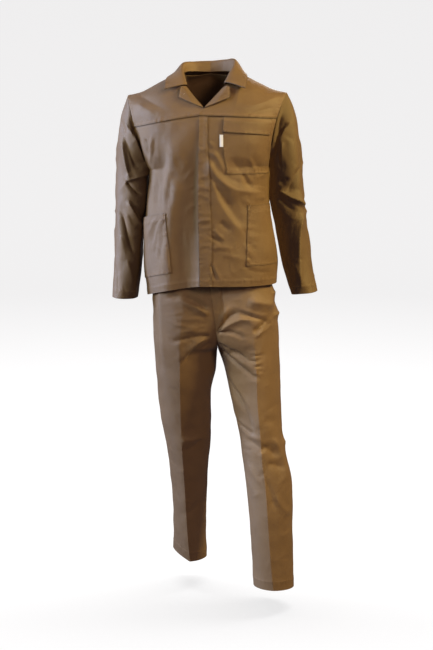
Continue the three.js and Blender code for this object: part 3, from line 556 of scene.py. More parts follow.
def sleeveForm(sideName):
    side = sides[sideName]
    ring, hole = sleeveCut[sideName], jacketCut["armhole"][sideName]
    seam, pocket, clear = jacketCut["side"][sideName], hipPockets[sideName], sleeveCut["clear"]
    lapDepth, lapFoot, lapTop = sleeveCut["lap"][sideName]
    before, after, above = sleeveCut["lapEase"]

    def at(s, v):
        a = 2 * math.pi * s
        share = 0.5 + 0.5 * np.cos(a)
        cut = hole["scoop"] * np.sin(a) ** 2 * (1 - ease(v, 0, 0.3))
        out = blend(ring["inX"](v), ring["outX"](v), share) - cut
        y = ring["back"](v) - ring["half"](v) * np.sin(a)
        z = blend(ring["inZ"](v), ring["outZ"](v), share)
        out = out - lapDepth * (1 - share) ** 2 * (
            ease(z, lapFoot - before, lapFoot + after) * (1 - ease(z, lapTop, lapTop + above)))
        height = z + seam["drop"](z + 30)
        foot, top = pocket["bottom"], pocket["top"]
        onPocket = ease(height, foot - 20, foot) * ease(top + 20 - height, 0, 20)
        room = clear["body"] + clear["pocket"] * onPocket
        nearest = (seam["out"](height) - (y - suit["sideDepth"]) ** 2 / clear["curve"] + room
                   - 60 * ease(z, hole["pit"][1] - 8, hole["pit"][1] + 30))
        over = nearest - out
        free = ease(v, 0, clear["head"])
        pushed = out + 0.5 * over + np.hypot(0.5 * over, clear["soft"] * free)
        return vec(side * blend(out, pushed, free), y, z)
    return Form(at, side, sleeveFolds[sideName], swell=0.8, seed=7 if side > 0 else 8,
                low=(-1, 0), high=(2, 1), step=0.004, hang=sleeveCut["hang"][sideName],
                calm=lambda s, v: blend(0.15, 1, ease(v, 0, 0.035)))


# Collar and lapels

collarCut = {
    "sections": curves("at seamX seamY seamZ foldX foldY foldZ edgeX edgeY edgeZ", [
        [0, 0, 64, 1628, 0, 81, 1659, 0, 104, 1601],
        [0.25, 42, 53, 1629, 48, 68, 1659, 68, 90, 1600],
        [0.48, 68, 24, 1627, 78, 29, 1657, 105, 45, 1606],
        [0.66, 73, -6, 1618, 80, -9, 1637, 114, 2, 1615],
        [0.84, 67, -38, 1601, 71, -47, 1612, 120, -45, 1601],
        [1, 60, -62, 1582, 62, -74, 1588, 118, -90, 1573]]),
    "lean": 0.055,
    "thick": 2.2,
    "stitch": 5,
}
lapelCut = {
    "fold": (2, 1519),
    "tip": (76, 1547),
    "outer": (72, 1578),
    "inner": (57, 1581),
    "thick": 1.8,
    "stitch": 5,
    "roll": 0.08,  # share of its width that turns round the fold
}


def collarForm():
    section = collarCut["sections"]

    def at(s, v):
        u = np.abs(s)
        side = np.where(s < 0, -1.0, 1.0)
        seam, turned, edge = [vec(side * section[n + "X"](u), section[n + "Y"](u), section[n + "Z"](u))
                              for n in ("seam", "fold", "edge")]
        turned[..., 2] += collarCut["lean"] * turned[..., 0]
        edge[..., 2] += 0.2 * collarCut["lean"] * edge[..., 0]
        crown = (8 * turned - seam - edge) / 6
        spread = 0.12 * (edge - seam)
        return bezier(seam, crown - spread, crown + spread, edge, v)
    return Form(at, 1, swell=0.3, seed=11, low=(-1, 0), step=0.004)


def onFront(form, side, x, z):
    # the point of a front at a place in its front view, found step by step
    s, h = np.full_like(x, 0.5), z + 0.0
    frontWidth, caution, tries = 230, 0.8, 30
    for turn in range(tries):
        point = form.at(s, h)
        s = np.clip(s + (side * x - point[..., 0]) / (side * frontWidth), 0, 1)
        h = np.minimum(suit["neckHeight"], h + caution * (z - point[..., 2]))
    return form.at(s, h)


def lapelForm(sideName):
    side, front, cut = sides[sideName], frontForm(sideName), lapelCut

    def at(s, v):
        low = [blend(cut["fold"][i], cut["tip"][i], s) for i in (0, 1)]
        high = [blend(cut["inner"][i], cut["outer"][i], s) for i in (0, 1)]
        bow = np.sin(math.pi * s) * (1 - v)
        point = onFront(front, side, blend(low[0], high[0], v), blend(low[1], high[1], v) - bow)
        rise = 2.5 + 3.5 * ease(s, 0, 0.5) + 2.5 * s * v
        return point + vec(0 * rise, -rise, 0.4 * rise)
    return Form(at, side)


# Trousers

legNames = "height outer inner crease front back mid press outerRise innerRise"
trouserCut = {
    "legs": {
        "left": curves(legNames, [
            [80, 263, 139, 197, -172, -16, -92, 0.44, -14, -10],
            [160, 261, 134, 189, -172, -10, -90, 0.43, -6, -4],
            [255, 258, 127, 182, -171, -4, -86, 0.42, 0, 0],
            [340, 258, 120, 176, -167, 3, -80, 0.42, 0, 0],
            [405, 255, 114, 171, -160, 12, -72, 0.4, 0, 0],
            [470, 240, 105, 162, -152, 22, -64, 0.4, 0, 0],
            [560, 226, 91, 155, -145, 42, -50, 0.38, 0, 0],
            [650, 222, 69, 147, -138, 66, -34, 0.36, 0, 0],
            [740, 219, 50, 144, -132, 92, -18, 0.33, 0, 0],
            [800, 216, 30, 140, -128, 110, -8, 0.27, 0, 0],
            [840, 214, 26, 136, -126, 120, -3, 0.2, 0, 0],
            [900, 210, 20, 128, -124, 128, 0, 0.12, 0, 0],
            [960, 202, 11, 118, -121, 124, 2, 0.06, 0, 0],
            [1010, 190, 5, 108, -117, 114, 2, 0.02, 0, 0],
            [1074, 172, 2, 98, -108, 96, 2, 0, 0, 0]]),
        "right": curves(legNames, [
            [98, -115, -8, -60, 24, 182, 102, 0.44, 22, -8],
            [165, -114, -8, -65, 15, 176, 95, 0.43, 9, -4],
            [250, -114, -8, -70, 5, 168, 86, 0.42, 0, 0],
            [340, -118, -4, -74, -10, 158, 72, 0.42, 0, 0],
            [420, -125, -1, -78, -28, 148, 57, 0.4, 0, 0],
            [480, -133, 6, -81, -42, 142, 46, 0.4, 0, 0],
            [575, -148, 8, -84, -62, 132, 30, 0.38, 0, 0],
            [660, -156, 9, -85, -84, 124, 16, 0.36, 0, 0],
            [730, -160, 22, -85, -104, 118, 5, 0.33, 0, 0],
            [800, -165, 28, -84, -118, 121, 0, 0.27, 0, 0],
            [840, -167, 26, -82, -121, 125, 0, 0.2, 0, 0],
            [900, -169, 20, -78, -123, 128, 0, 0.12, 0, 0],
            [960, -171, 11, -74, -121, 124, 2, 0.06, 0, 0],
            [1010, -167, 5, -70, -117, 112, 2, 0.02, 0, 0],
            [1074, -156, 2, -64, -108, 92, 2, 0, 0, 0]]),
    },
    "hem": {"left": 80, "right": 98},
    "hemDepth": 32,
    "seam": curves("height across front back", [
        [700, 30, 0, 0], [796, 29, -6, 8], [812, 28, -52, 52], [832, 27, -86, 84], [862, 24, -106, 106],
        [910, 18, -116, 120], [1000, 6, -113, 110], [1074, 2, -104, 90]]),
    "joined": (790, 806),  # where the two legs run together at the fork
    "flat": (785, 880),  # where the cloth between them grows flat
    "calm": (785, 810),  # and where its folds die away at the middle seam
    "waistSeam": 1036,
    "waistTop": 1074,
    "sidePocket": {"foot": 905, "mouthTop": 0.8},
    "fly": {"outer": 0.15, "foot": 868, "bend": 34},
}
trouserFolds = allFolds(
    front=[
        # right leg
        [0, 918, -38, 942, -90, 967, 9, 5, 0.12, 0.3],
        [-4, 934, -38, 957, -76, 975, 9, -6, 0.12, 0.3],
        [-86, 964, -103, 972, -120, 980, 8, -3.5, 0.2, 0.4],
        [6, 849, -33, 853, -84, 843, 8, -3, 0.15, 0.45],
        [-50, 849, -80, 843, -112, 837, 6, -3, 0.3, 0.3],
        [6, 846, -42, 824, -81, 770, 7, 5.5, 0.4, 0.2, 0.4],
        [12, 830, -34, 806, -76, 762, 9, -4, 0.1, 0.3],
        [-14, 905, -50, 902, -84, 908, 6, 1.8, 0.2, 0.5],
        [-10, 886, -46, 880, -90, 884, 6, 1.8, 0.2, 0.5],
        [-30, 870, -66, 868, -100, 862, 6, 1.6, 0.2, 0.5],
        [-139, 1000, -136, 860, -128, 690, 20, 8, 0.1, 0.45, -0.35],
        [-20, 520, -50, 490, -110, 480, 12, -3, 0.2, 0.5],
        [-30, 300, -52, 270, -100, 262, 10, -2, 0.2, 0.5],
        # left leg
        [25, 873, 44, 906, 60, 948, 6, 4, 0.12, 0.35],
        [25, 862, 53, 904, 96, 928, 8, -5.5, 0.1, 0.2],
        [90, 929, 130, 913, 172, 896, 7, -6.5, 0.2, 0.12, 0.2],
        [30, 868, 65, 891, 108, 908, 9, 5.5, 0.12, 0.25],
        [92, 903, 130, 903, 174, 894, 8, 4.5, 0.25, 0.12],
        [27, 860, 65, 866, 108, 850, 5, -4.5, 0.1, 0.2],
        [132, 866, 156, 879, 177, 898, 7, -6, 0.3, 0.1],
        [177, 895, 160, 873, 139, 845, 5, 4, 0.1, 0.3],
        [118, 962, 158, 950, 200, 938, 20, 10, 0.25, 0.25],
        [41, 838, 83, 827, 132, 814, 18, 1.5, 0.15, 0.3],
        [35, 826, 83, 802, 116, 783, 4.5, -4.5, 0.06, 0.2],
        [98, 791, 128, 780, 170, 789, 4.5, -3, 0.2, 0.3],
        [50, 812, 95, 779, 147, 753, 8, 4, 0.12, 0.2],
        [48, 799, 98, 759, 149, 724, 5, -5, 0.08, 0.15],
        [58, 717, 83, 678, 112, 632, 6, -5, 0.15, 0.25, 0.2],
        [128, 799, 150, 796, 178, 797, 5, -2.6, 0.25, 0.5],
        [134, 766, 150, 764, 166, 767, 4, -3, 0.25, 0.4],
        [134, 750, 150, 742, 166, 746, 5, 2.4, 0.25, 0.4],
        [140, 728, 150, 744, 166, 752, 5, -2, 0.25, 0.4],
        [74, 690, 112, 628, 137, 556, 8, -4.5, 0.15, 0.2, 0.2],
        [60, 640, 92, 590, 118, 540, 9, 3, 0.3, 0.3],
        [84, 590, 112, 570, 136, 556, 5, -4, 0.15, 0.2],
        [116, 544, 150, 522, 168, 506, 10, -5, 0.25, 0.3],
        [162, 528, 190, 506, 212, 480, 12, -6, 0.2, 0.4],
        [194, 545, 222, 480, 246, 395, 11, 6, 0.2, 0.3, -0.2],
        [176, 470, 204, 462, 236, 440, 9, -4, 0.25, 0.3],
        [120, 470, 140, 430, 168, 400, 9, 2.5, 0.3, 0.4],
        [170, 430, 192, 370, 200, 330, 7, -3, 0.2, 0.4],
        [200, 380, 226, 330, 250, 312, 8, 3, 0.2, 0.4]],
    left=[
        [-60, 970, -20, 972, 30, 964, 9, 4.5, 0.2, 0.3],
        [-60, 941, -20, 943, 30, 938, 8, -4, 0.2, 0.3],
        [-64, 904, -20, 908, 30, 900, 10, 6, 0.2, 0.3],
        [-80, 512, -36, 516, 20, 506, 18, 5, 0.25, 0.3]],
    back=[
        # seat and backs of the legs
        [40, 812, 84, 780, 140, 722, 13, -6, 0.1, 0.5, 0.2],
        [12, 812, -30, 780, -88, 722, 13, -6, 0.1, 0.5, -0.2],
        [44, 836, 90, 826, 150, 800, 13, 5, 0.12, 0.5],
        [8, 836, -40, 826, -98, 800, 13, 5, 0.12, 0.5],
        [60, 880, 44, 930, 40, 990, 14, 4, 0.3, 0.4],
        [-40, 880, -24, 930, -18, 990, 14, 4, 0.3, 0.4],
        [50, 790, 96, 748, 140, 690, 8, 4, 0.1, 0.5],
        [6, 786, -40, 744, -84, 690, 8, 4, 0.1, 0.5],
        [120, 470, 180, 440, 244, 452, 13, -6, 0.2, 0.4],
        [124, 420, 184, 400, 250, 410, 12, 4, 0.2, 0.4],
        [128, 500, 180, 488, 240, 500, 9, 4, 0.2, 0.4],
        [-10, 520, -60, 486, -124, 500, 13, -6, 0.2, 0.4],
        [-10, 470, -60, 446, -120, 456, 12, 4, 0.2, 0.4],
        [-14, 550, -60, 540, -120, 548, 9, 4, 0.2, 0.4]],
    creases=[
        ["front", 26, 71, (-120, -20), (830, 1000), 4, 1.1, 5, 50],
        ["front", 30, 72, (50, 200), (700, 1000), 8, 1.1, 5, 46],
        ["front", 24, 73, (-120, 0), (140, 700), -20, 0.9, 6, 46],
        ["front", 30, 74, (110, 250), (120, 640), 24, 1.1, 6, 50],
        ["back", 50, 75, (-140, 240), (150, 960), 10, 1.1, 6, 56]])


def legForm(sideName, face):
    side, cut = sides[sideName], trouserCut
    leg, faceName = cut["legs"][sideName], "front" if face < 0 else "back"

    def at(s, h):
        outside = s >= 0.5
        away = np.abs(2 * s - 1)
        turn = 0.5 * math.pi * away
        press = leg["press"](h)
        flat = np.where(outside, 0, ease(h, *cut["flat"]))
        out = blend(np.sin(turn), away, flat)
        rounded = (1 - press) * np.cos(turn) + press * (1 - np.sin(turn))
        depth = blend(rounded, 1 - away * away, flat)
        joined = np.where(outside, 0, ease(h, *cut["joined"]))
        inner = blend(leg["inner"](h), cut["seam"]["across"](h) + 0.2 * side, joined)
        start = blend(leg["mid"](h), cut["seam"][faceName](h), joined)
        rise = np.where(outside, leg["outerRise"](h), leg["innerRise"](h))
        return vec(blend(leg["crease"](h), np.where(outside, leg["outer"](h), inner), out),
                   blend(start, leg[faceName](h), depth), h + rise * out)
    return Form(at, -side * face, trouserFolds, swell=0.7, seed=17 if side > 0 else 18,
                low=(0, cut["hem"][sideName]), high=(1, cut["waistTop"]),
                calm=lambda s, h: blend(1, ease(s, 0, 0.07), ease(h, *cut["calm"])))


print("cut and folds ready")


# Shader maths: a socket that can be added to, scaled and compared

class Shade:
    def __init__(self, tree, socket):
        self.tree, self.socket = tree, socket

    def node(self, kind, settings=None, output=0, **inputs):
        made = self.tree.nodes.new("ShaderNode" + kind)
        for key, value in (settings or {}).items():
            setattr(made, key, value)
        for key, value in inputs.items():
            target = made.inputs[int(key[1:]) if key[1:].isdigit() else key]
            if isinstance(value, Shade):
                self.tree.links.new(value.socket, target)
            else:
                target.default_value = value
        return Shade(self.tree, made.outputs[output])

    def maths(self, operation, a, b=0.0):
        return self.node("Math", {"operation": operation}, i0=a, i1=b)

    def __add__(self, other):
        return self.maths("ADD", self, other)

    def __radd__(self, other):
        return self.maths("ADD", other, self)

    def __sub__(self, other):
        return self.maths("SUBTRACT", self, other)

    def __rsub__(self, other):
        return self.maths("SUBTRACT", other, self)

    def __mul__(self, other):
        return self.maths("MULTIPLY", self, other)

    def __rmul__(self, other):
        return self.maths("MULTIPLY", other, self)

    def wave(self):
        return self.maths("SINE", self)

    def fade(self):
        return self.maths("EXPONENT", self)

    def size(self):
        return self.maths("ABSOLUTE", self)

    def vector(self, x, y, z=0.0):
        return self.node("CombineXYZ", X=x, Y=y, Z=z)

    def part(self, axis):
        return self.node("SeparateXYZ", None, "XYZ".index(axis), Vector=self)

    def values(self, name):
        return self.node("Attribute", {"attribute_name": name}, 1)

    def noise(self, where, scale, detail=2.0):
        return self.node("TexNoise", Vector=where, Scale=scale, Detail=detail)

    def mix(self, amount, a, b):
        return self.node("Mix", {"data_type": "RGBA"}, 2, Factor=amount, i6=a, i7=b)

    def bump(self, strength, distance, height, **below):
        return self.node("Bump", Strength=strength, Distance=distance, Height=height, **below)

    def feed(self, target):
        self.tree.links.new(self.socket, target)


def linear(red, green, blue):
    # colour from its 0-255 values
    out = [c / 255 / 12.92 if c <= 10 else ((c / 255 + 0.055) / 1.055) ** 2.4 for c in (red, green, blue)]
    return (*out, 1.0)


def newMaterial(name):
    material = bpy.data.materials.new(name)
    material.use_nodes = True
    tree = material.node_tree
    return material, Shade(tree, None), tree.nodes["Principled BSDF"].inputs


twill = {
    "dark": linear(98, 75, 49),
    "light": linear(129, 102, 71),
    "worn": linear(150, 122, 90),
    # the next colour is painted shade: the dark of the shadow along lines where two pieces meet, painted into
    # the cloth
    "joint": linear(44, 29, 16),  # the shadowed line where two pieces meet
    "rib": 0.95,  # mm from one diagonal rib to the next
    "pick": 0.62,
    "weaveDepth": 0.00016,
    "puckerDepth": 0.0022,
    "roughness": 0.58,
    "sheen": 0.08,
    "sheenTint": linear(200, 208, 235),
}


def twillMaterial(name):
    material, maker, out = newMaterial(name)
    cloth, edge = maker.values("cloth"), maker.values("edge")
    joint = maker.values("joint").part("X")
    u, v = cloth.part("X"), cloth.part("Y")
    across, along, amount = [edge.part(axis) for axis in "XYZ"]  # from the nearest seam
    thread = maker.noise(cloth, 1.6)
    slub = maker.noise(maker.vector(u * 0.25, v * 2.2), 1.0, 1.0)
    ribs = ((u + v + thread * 0.35) * (2 * math.pi / twill["rib"])).wave()
    picks = ((u - v) * (2 * math.pi / twill["pick"])).wave()
    weave = ribs * 0.7 + picks * 0.3 + slub * 0.5
    cloud = maker.noise(cloth, 0.011, 3.0)
    groove = (across * across * -1.1).fade() * amount
    worn = (across.size() * -0.55).fade() * amount * maker.noise(cloth, 0.16, 3.0)
    drawn = maker.noise(maker.vector(along * 0.1, across * 0.035), 1.0, 1.5)
    pucker = drawn * (across.size() * -0.17).fade() * amount
    colour = maker.mix(cloud * 0.75 + thread * 0.35 + ribs * 0.05 - 0.1, twill["dark"], twill["light"])
    colour = maker.mix(worn * 0.5, colour, twill["worn"])
    # painted shade: the shadow lines along seams and edges are mixed into the base colour as a dark brown
    maker.mix(joint, colour, twill["joint"]).feed(out["Base Color"])
    (thread * 0.1 + cloud * 0.12 + (twill["roughness"] - 0.1)).feed(out["Roughness"])
    fine = maker.bump(0.55, twill["weaveDepth"], weave)
    maker.bump(1.0, twill["puckerDepth"], pucker - groove * 0.22, Normal=fine).feed(out["Normal"])
    out["Specular IOR Level"].default_value = 0.55
    out["Sheen Weight"].default_value = twill["sheen"]
    out["Sheen Roughness"].default_value = 0.45
    out["Sheen Tint"].default_value = twill["sheenTint"]
    return material


def plainMaterial(name, colour, roughness):
    material, maker, out = newMaterial(name)
    grain = maker.noise(maker.values("cloth"), 2.5)
    darker = tuple(0.9 * c for c in colour[:3]) + (1,)
    maker.mix(grain, darker, colour).feed(out["Base Color"])
    (grain * 0.1 + roughness).feed(out["Roughness"])
    return material


cloths = {
    "twill": twillMaterial("brown_twill"),
    "label": plainMaterial("white_label", linear(243, 246, 255), 0.6),
    "thread": plainMaterial("brown_thread", linear(136, 108, 80), 0.55),
    "paleThread": plainMaterial("pale_thread", linear(196, 180, 158), 0.55),
}


# Meshes

def gridNormal(points, facing):
    down, across = np.gradient(points, axis=0), np.gradient(points, axis=1)
    return facing * unit(np.cross(across, down))


def meshObject(name, vertices, faces, material, jacket, values, angle=38):
    # vertices in mm above ground; jacket pieces turn with the chest
    vertices = np.asarray(vertices, float).reshape(-1, 3)
    if jacket:
        a = math.radians(suit["chestTurn"])
        turn = np.array([[math.cos(a), math.sin(a), 0], [-math.sin(a), math.cos(a), 0], [0, 0, 1]])
        vertices = vertices @ turn
    vertices = (vertices - np.array([0, 0, suit["originHeight"]])) / 1000
    faces = np.asarray(faces, np.int32)
    mesh = bpy.data.meshes.new(name)
    mesh.vertices.add(len(vertices))
    mesh.vertices.foreach_set("co", vertices.astype(np.float32).ravel())
    mesh.loops.add(faces.size)
    mesh.loops.foreach_set("vertex_index", faces.ravel())
    mesh.polygons.add(len(faces))
    mesh.polygons.foreach_set("loop_start", np.arange(0, faces.size, faces.shape[1], dtype=np.int32))
    mesh.update(calc_edges=True)
    for key, value in values.items():
        stored = mesh.attributes.new(key, "FLOAT_VECTOR", "POINT")
        stored.data.foreach_set("vector", np.asarray(value, np.float32).ravel())
    mesh.validate()
    mesh.shade_smooth()
    mesh.set_sharp_from_angle(angle=math.radians(angle))
    mesh.materials.append(material)
    made = bpy.data.objects.new(name, mesh)
    bpy.context.scene.collection.objects.link(made)
    return made


edgeSteps = [0, 0.9, 2.0, 3.4, 5.2, 7.2, 9.6]


def spaced(stops, sizes=None, tight=(True, True), step=suit["grid"]):
    # values through the stops, about one step apart, and closer beside tight ends. sizes are mm between stops
    sizes = np.diff(stops) if sizes is None else np.atleast_1d(sizes)
    lengths = np.concatenate([[0], np.cumsum(sizes)])
    whole = lengths[-1]
    marks = [0.0]
    for a, b in zip(lengths, lengths[1:]):
        count = max(1, round((b - a) / step))
        marks += list(np.linspace(a, b, count + 1)[1:])
    marks = np.array(marks)
    near = [d for d in edgeSteps if d < 0.45 * whole]
    if tight[0]:
        marks = np.concatenate([near, marks[marks > near[-1] + 0.5 * step]])
    if tight[1]:
        marks = np.concatenate([marks[marks < whole - near[-1] - 0.5 * step], whole - np.array(near[::-1])])
    return np.interp(marks, lengths, np.asarray(stops, float))


def swing(along, seed, wave=12.0):
    # uneven little waves along a seam
    dice = np.random.default_rng(seed)
    total = 0 * along
    for k in range(5):
        total = total + np.sin(along * 2 * math.pi / (wave * dice.uniform(0.7, 2.1)) + dice.uniform(0, 6.28))
    return total / 2.2


# Sewing: the work at an edge of a panel is a dictionary. rows are its lines of stitches in mm from the edge,
# the painted shade is a list of places in mm from the edge with how dark a shadow is painted there, hem is
# the depth turned in, and over and under are how far the edge stands out or in at a seam.
sewing = {
    "single": [1.6],
    "double": [1.6, 7.4],
    "hemSwell": 0.45,
    "hemThick": 1.0,
    "overSteps": (6, 10.5),  # mm from the edge between which a lapped seam falls back
    "underSteps": (0, 4.5),
    "sink": (0.28, 1.2),  # depth and half-width of the line that a row of stitches draws in
    "jointWidth": 1.5,
    "noSeam": 99.0,
    "rim": 0.32,  # share of the thickness by which a rim is rounded
    "pitch": 3.2,
    "tackPitch": 0.55,
    "tackHalf": 1.1,
    "thread": {"length": 2.5, "width": 0.42, "rise": 0.3},
    "tackThread": {"length": 2.3, "width": 0.5, "rise": 0.35},
}


# the work at one edge: rows of stitches, and a shadow line painted into the colour at place mm from the edge,
# shadow being how dark it is
def edge(rows=(), shadow=0, place=0, **more):
    return {"rows": list(rows), "joint": [(place, shadow)], **more}


class Panel:
    # One panel of cloth on a form: rows of h, columns of s, with its work by the name of the edge
    def __init__(self, name, form, s, h, work=None, lift=0, thick=suit["cloth"], jacket=True, at=None,
                 pucker=0.35):
        self.name, self.jacket, self.form = name, jacket, form
        self.s, self.h = np.meshgrid(s, h)
        base = (at or form.point)(self.s, self.h)
        self.normal = gridNormal(base, form.facing)
        acrossSteps = np.linalg.norm(np.diff(base, axis=1), axis=-1)
        upSteps = np.linalg.norm(np.diff(base, axis=0), axis=-1)
        across = np.concatenate([np.zeros((len(h), 1)), np.cumsum(acrossSteps, axis=1)], 1)
        up = np.concatenate([np.zeros((1, len(s))), np.cumsum(upSteps, axis=0)], 0)
        none = np.zeros(across.shape)
        self.away = {"start": across, "end": across[:, -1:] - across, "bottom": up, "top": up[-1:] - up}
        self.along = {"start": up, "end": up, "bottom": across, "top": across}
        self.work = work or {}
        self.height = none + (lift(self.s, self.h) if callable(lift) else lift)
        self.depth = none + thick
        self.seam = vec(none + sewing["noSeam"], none, none)  # distance to the nearest, run along it, amount
        shadow = none
        for k, (side, sewn) in enumerate(self.work.items()):
            # painted shade: the shadow lines at the edges are painted into the colour, darkest at their
            # places
            for place, amount in sewn["joint"]:
                near = np.exp(-((self.away[side] - place) / sewing["jointWidth"]) ** 2)
                shadow = np.maximum(shadow, amount * near)
            self.turnEdge(side, sewn)
            self.sewEdge(k, side, sewn, pucker)
        self.outer = base + self.normal * self.height[..., None]
        self.cloth = vec(across - across[:, across.shape[1] // 2][:, None], up, none)
        # the painted seam shade, handed to the material as a mesh attribute
        self.joint = vec(shadow, none, none)
        spans = 0.25 * (acrossSteps[:-1] + acrossSteps[1:]) * (upSteps[:, :-1] + upSteps[:, 1:])
        self.size = (across.max() / 1000, up.max() / 1000, spans.sum() / 1e6)  # m, m and m2

    def turnEdge(self, side, sewn):
        d = self.away[side]
        if "hem" in sewn:
            turned = 1 - ease(d, sewn["hem"] - 1, sewn["hem"] + 1.5)
            self.height = self.height + sewing["hemSwell"] * turned
            self.depth = self.depth + sewing["hemThick"] * turned
        if "over" in sewn:
            self.height = self.height + sewn["over"] * (1 - ease(d, *sewing["overSteps"]))
        if "under" in sewn:
            self.height = self.height - sewn["under"] * (1 - ease(d, *sewing["underSteps"]))

    def sewEdge(self, k, side, sewn, pucker):
        d, a = self.away[side], self.along[side]
        rows = sewn["rows"]
        sink, sinkWidth = sewing["sink"]
        for row in rows:
            self.height = self.height - sink * np.exp(-((d - row) / sinkWidth) ** 2)
        if rows:
            middle = np.mean(rows)
            drawn = pucker * swing(a, len(self.name) * 7 + k)
            drawn = drawn * np.exp(-((d - middle) / (5 + 0.25 * middle)) ** 2)
            self.height = self.height + drawn * ease(d, -1, 3)
            self.markSeam(np.min([np.abs(d - row) for row in rows], axis=0), a + 400 * k, 1.0)
        elif "over" in sewn or "under" in sewn:
            self.markSeam(d, a + 400 * k, 0.6)

    def markSeam(self, distance, run, amount):
        closer = distance < np.abs(self.seam[..., 0])
        for axis, value in enumerate((distance, run, amount)):
            self.seam[..., axis] = np.where(closer, value, self.seam[..., axis])

    def build(self, material):
        outer, normal = self.outer.copy(), self.normal
        inner = outer - normal * self.depth[..., None]
        rows, columns = self.s.shape
        ring = ([(0, j) for j in range(columns)] + [(i, columns - 1) for i in range(1, rows)]
                + [(rows - 1, j) for j in range(columns - 2, -1, -1)]
                + [(i, 0) for i in range(rows - 2, 0, -1)])
        i, j = np.array(ring).T
        middle = 0.5 * (outer + inner)[i, j]
        # the rim is rounded: its outer and inner lines draw back a little
        for grid in (outer, inner):
            here = grid[i, j]
            way = grid[np.clip(i, 1, rows - 2), np.clip(j, 1, columns - 2)] - here
            far = np.maximum(np.linalg.norm(way, axis=-1, keepdims=True), 1e-6)
            grid[i, j] = here + way / far * np.minimum(sewing["rim"] * self.depth[i, j][:, None], 0.45 * far)
        count = rows * columns
        vertices = np.concatenate([outer.reshape(-1, 3), inner.reshape(-1, 3), middle])
        index = np.arange(count).reshape(rows, columns)
        quads = np.stack([index[:-1, :-1], index[:-1, 1:], index[1:, 1:], index[1:, :-1]], -1).reshape(-1, 4)
        loop = index[i, j]
        after = np.roll(loop, -1)
        mid = np.arange(len(loop)) + 2 * count
        midAfter = np.roll(mid, -1)
        faces = np.concatenate([quads, quads[:, ::-1] + count, np.stack([loop, mid, midAfter, after], -1),
                                np.stack([mid, loop + count, after + count, midAfter], -1)])
        if self.form.facing < 0:
            faces = faces[:, ::-1]
        # the painted seam shade goes to the material with the cloth's run and its seams
        cloth, seam, joint = [grid.reshape(-1, 3) for grid in (self.cloth, self.seam, self.joint)]
        values = {"cloth": np.concatenate([cloth, cloth + np.array([0.3, 0.4, 50]), cloth[loop]]),
                  "edge": np.concatenate([seam, seam, seam[loop]]),
                  "joint": np.concatenate([joint, joint, joint[loop]])}
        return meshObject(self.name + "_cloth", vertices, faces, material, self.jacket, values)

    def line(self, side, distance):
        # points and normals along an edge at a distance from it
        outer, normal, away = self.outer, self.normal, self.away[side]
        if side in ("bottom", "top"):
            outer, normal, away = outer.transpose(1, 0, 2), normal.transpose(1, 0, 2), away.T
        if side in ("end", "top"):
            outer, normal, away = outer[:, ::-1], normal[:, ::-1], away[:, ::-1]
        k = np.clip(np.array([np.searchsorted(row, distance) for row in away]) - 1, 0, away.shape[1] - 2)
        i = np.arange(len(away))
        t = (distance - away[i, k]) / np.maximum(away[i, k + 1] - away[i, k], 1e-9)
        t = np.clip(t, 0, 1)[:, None]
        return blend(outer[i, k], outer[i, k + 1], t), unit(blend(normal[i, k], normal[i, k + 1], t))

    def stitches(self):
        found = []
        for side, sewn in self.work.items():
            for row in sewn["rows"]:
                points, normals = self.line(side, row)
                span = np.concatenate([[0], np.cumsum(np.linalg.norm(np.diff(points, axis=0), axis=-1))])
                spots = np.arange(sewn.get("from", 1.0), span[-1] - 1.0, sewing["pitch"])
                found.append(threads(points, normals, span, spots))
        return found


def threads(points, normals, span, spots, size=sewing["thread"]):
    # small stitches along a run of points
    length, width, rise = size["length"], size["width"], size["rise"]
    pick = lambda values, where: np.stack([np.interp(where, span, values[:, c]) for c in range(3)], -1)
    centre, normal = pick(points, spots), unit(pick(normals, spots))
    along = unit(pick(points, spots + 0.8) - pick(points, spots - 0.8))
    side = np.cross(normal, along)
    centre = centre + normal * 0.08
    shape = [(-length / 2, 0, -0.15), (length / 2, 0, -0.15), (0, -width / 2, 0), (0, width / 2, 0),
             (-length * 0.28, 0, rise), (length * 0.28, 0, rise), (0, 0, -0.3)]
    corners = np.stack([centre + along * x + side * y + normal * z for x, y, z in shape], 1)
    faces = [(0, 2, 4), (0, 4, 3), (1, 5, 2), (1, 3, 5), (2, 5, 4),
             (3, 4, 5), (0, 6, 2), (0, 3, 6), (1, 2, 6), (1, 6, 3)]
    return corners.reshape(-1, 3), np.array(faces, np.int32), len(shape)


def sew(name, runs, jacket=True, material="thread"):
    vertices, faces, start = [], [], 0
    for corners, shape, size in runs:
        count = len(corners) // size
        if not count:
            continue
        vertices.append(corners)
        faces.append((shape[None] + start + size * np.arange(count)[:, None, None]).reshape(-1, 3))
        start += len(corners)
    vertices = np.concatenate(vertices)
    values = {"cloth": vertices, "edge": np.full((len(vertices), 3), (sewing["noSeam"], 0, 0))}
    made = meshObject(name, vertices, np.concatenate(faces), cloths[material], jacket, values, 60)
    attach(made, "root")
    return made


def barTack(panel, s, h, width, turn=0.0):
    # close zigzag stitches at the end of an opening, where s and h are on the panel's grid
    i = int(np.argmin(np.abs(panel.h[:, 0] - h)))
    j = int(np.argmin(np.abs(panel.s[0] - s)))
    centre, normal = panel.outer[i, j], panel.normal[i, j]
    across = unit(panel.outer[i, min(j + 1, panel.s.shape[1] - 1)] - panel.outer[i, max(j - 1, 0)])
    way = across * math.cos(turn) + np.cross(normal, across) * math.sin(turn)
    aside = np.cross(normal, way)
    count = max(4, int(width / sewing["tackPitch"]))
    where = np.linspace(-width / 2, width / 2, count)
    lean = np.where(np.arange(count) % 2, 0.25, -0.25)
    centres = centre + way[None] * where[:, None] + normal * 0.25
    half, runs = sewing["tackHalf"], []
    for point, bend in zip(centres, lean):
        direction = unit(aside + bend * way)
        shape = np.array([point - direction * half, point + direction * half])
        runs.append(threads(shape, np.array([normal, normal]), np.array([0, 2 * half]), np.array([half]),
                            sewing["tackThread"]))
    return runs


sizes = {}


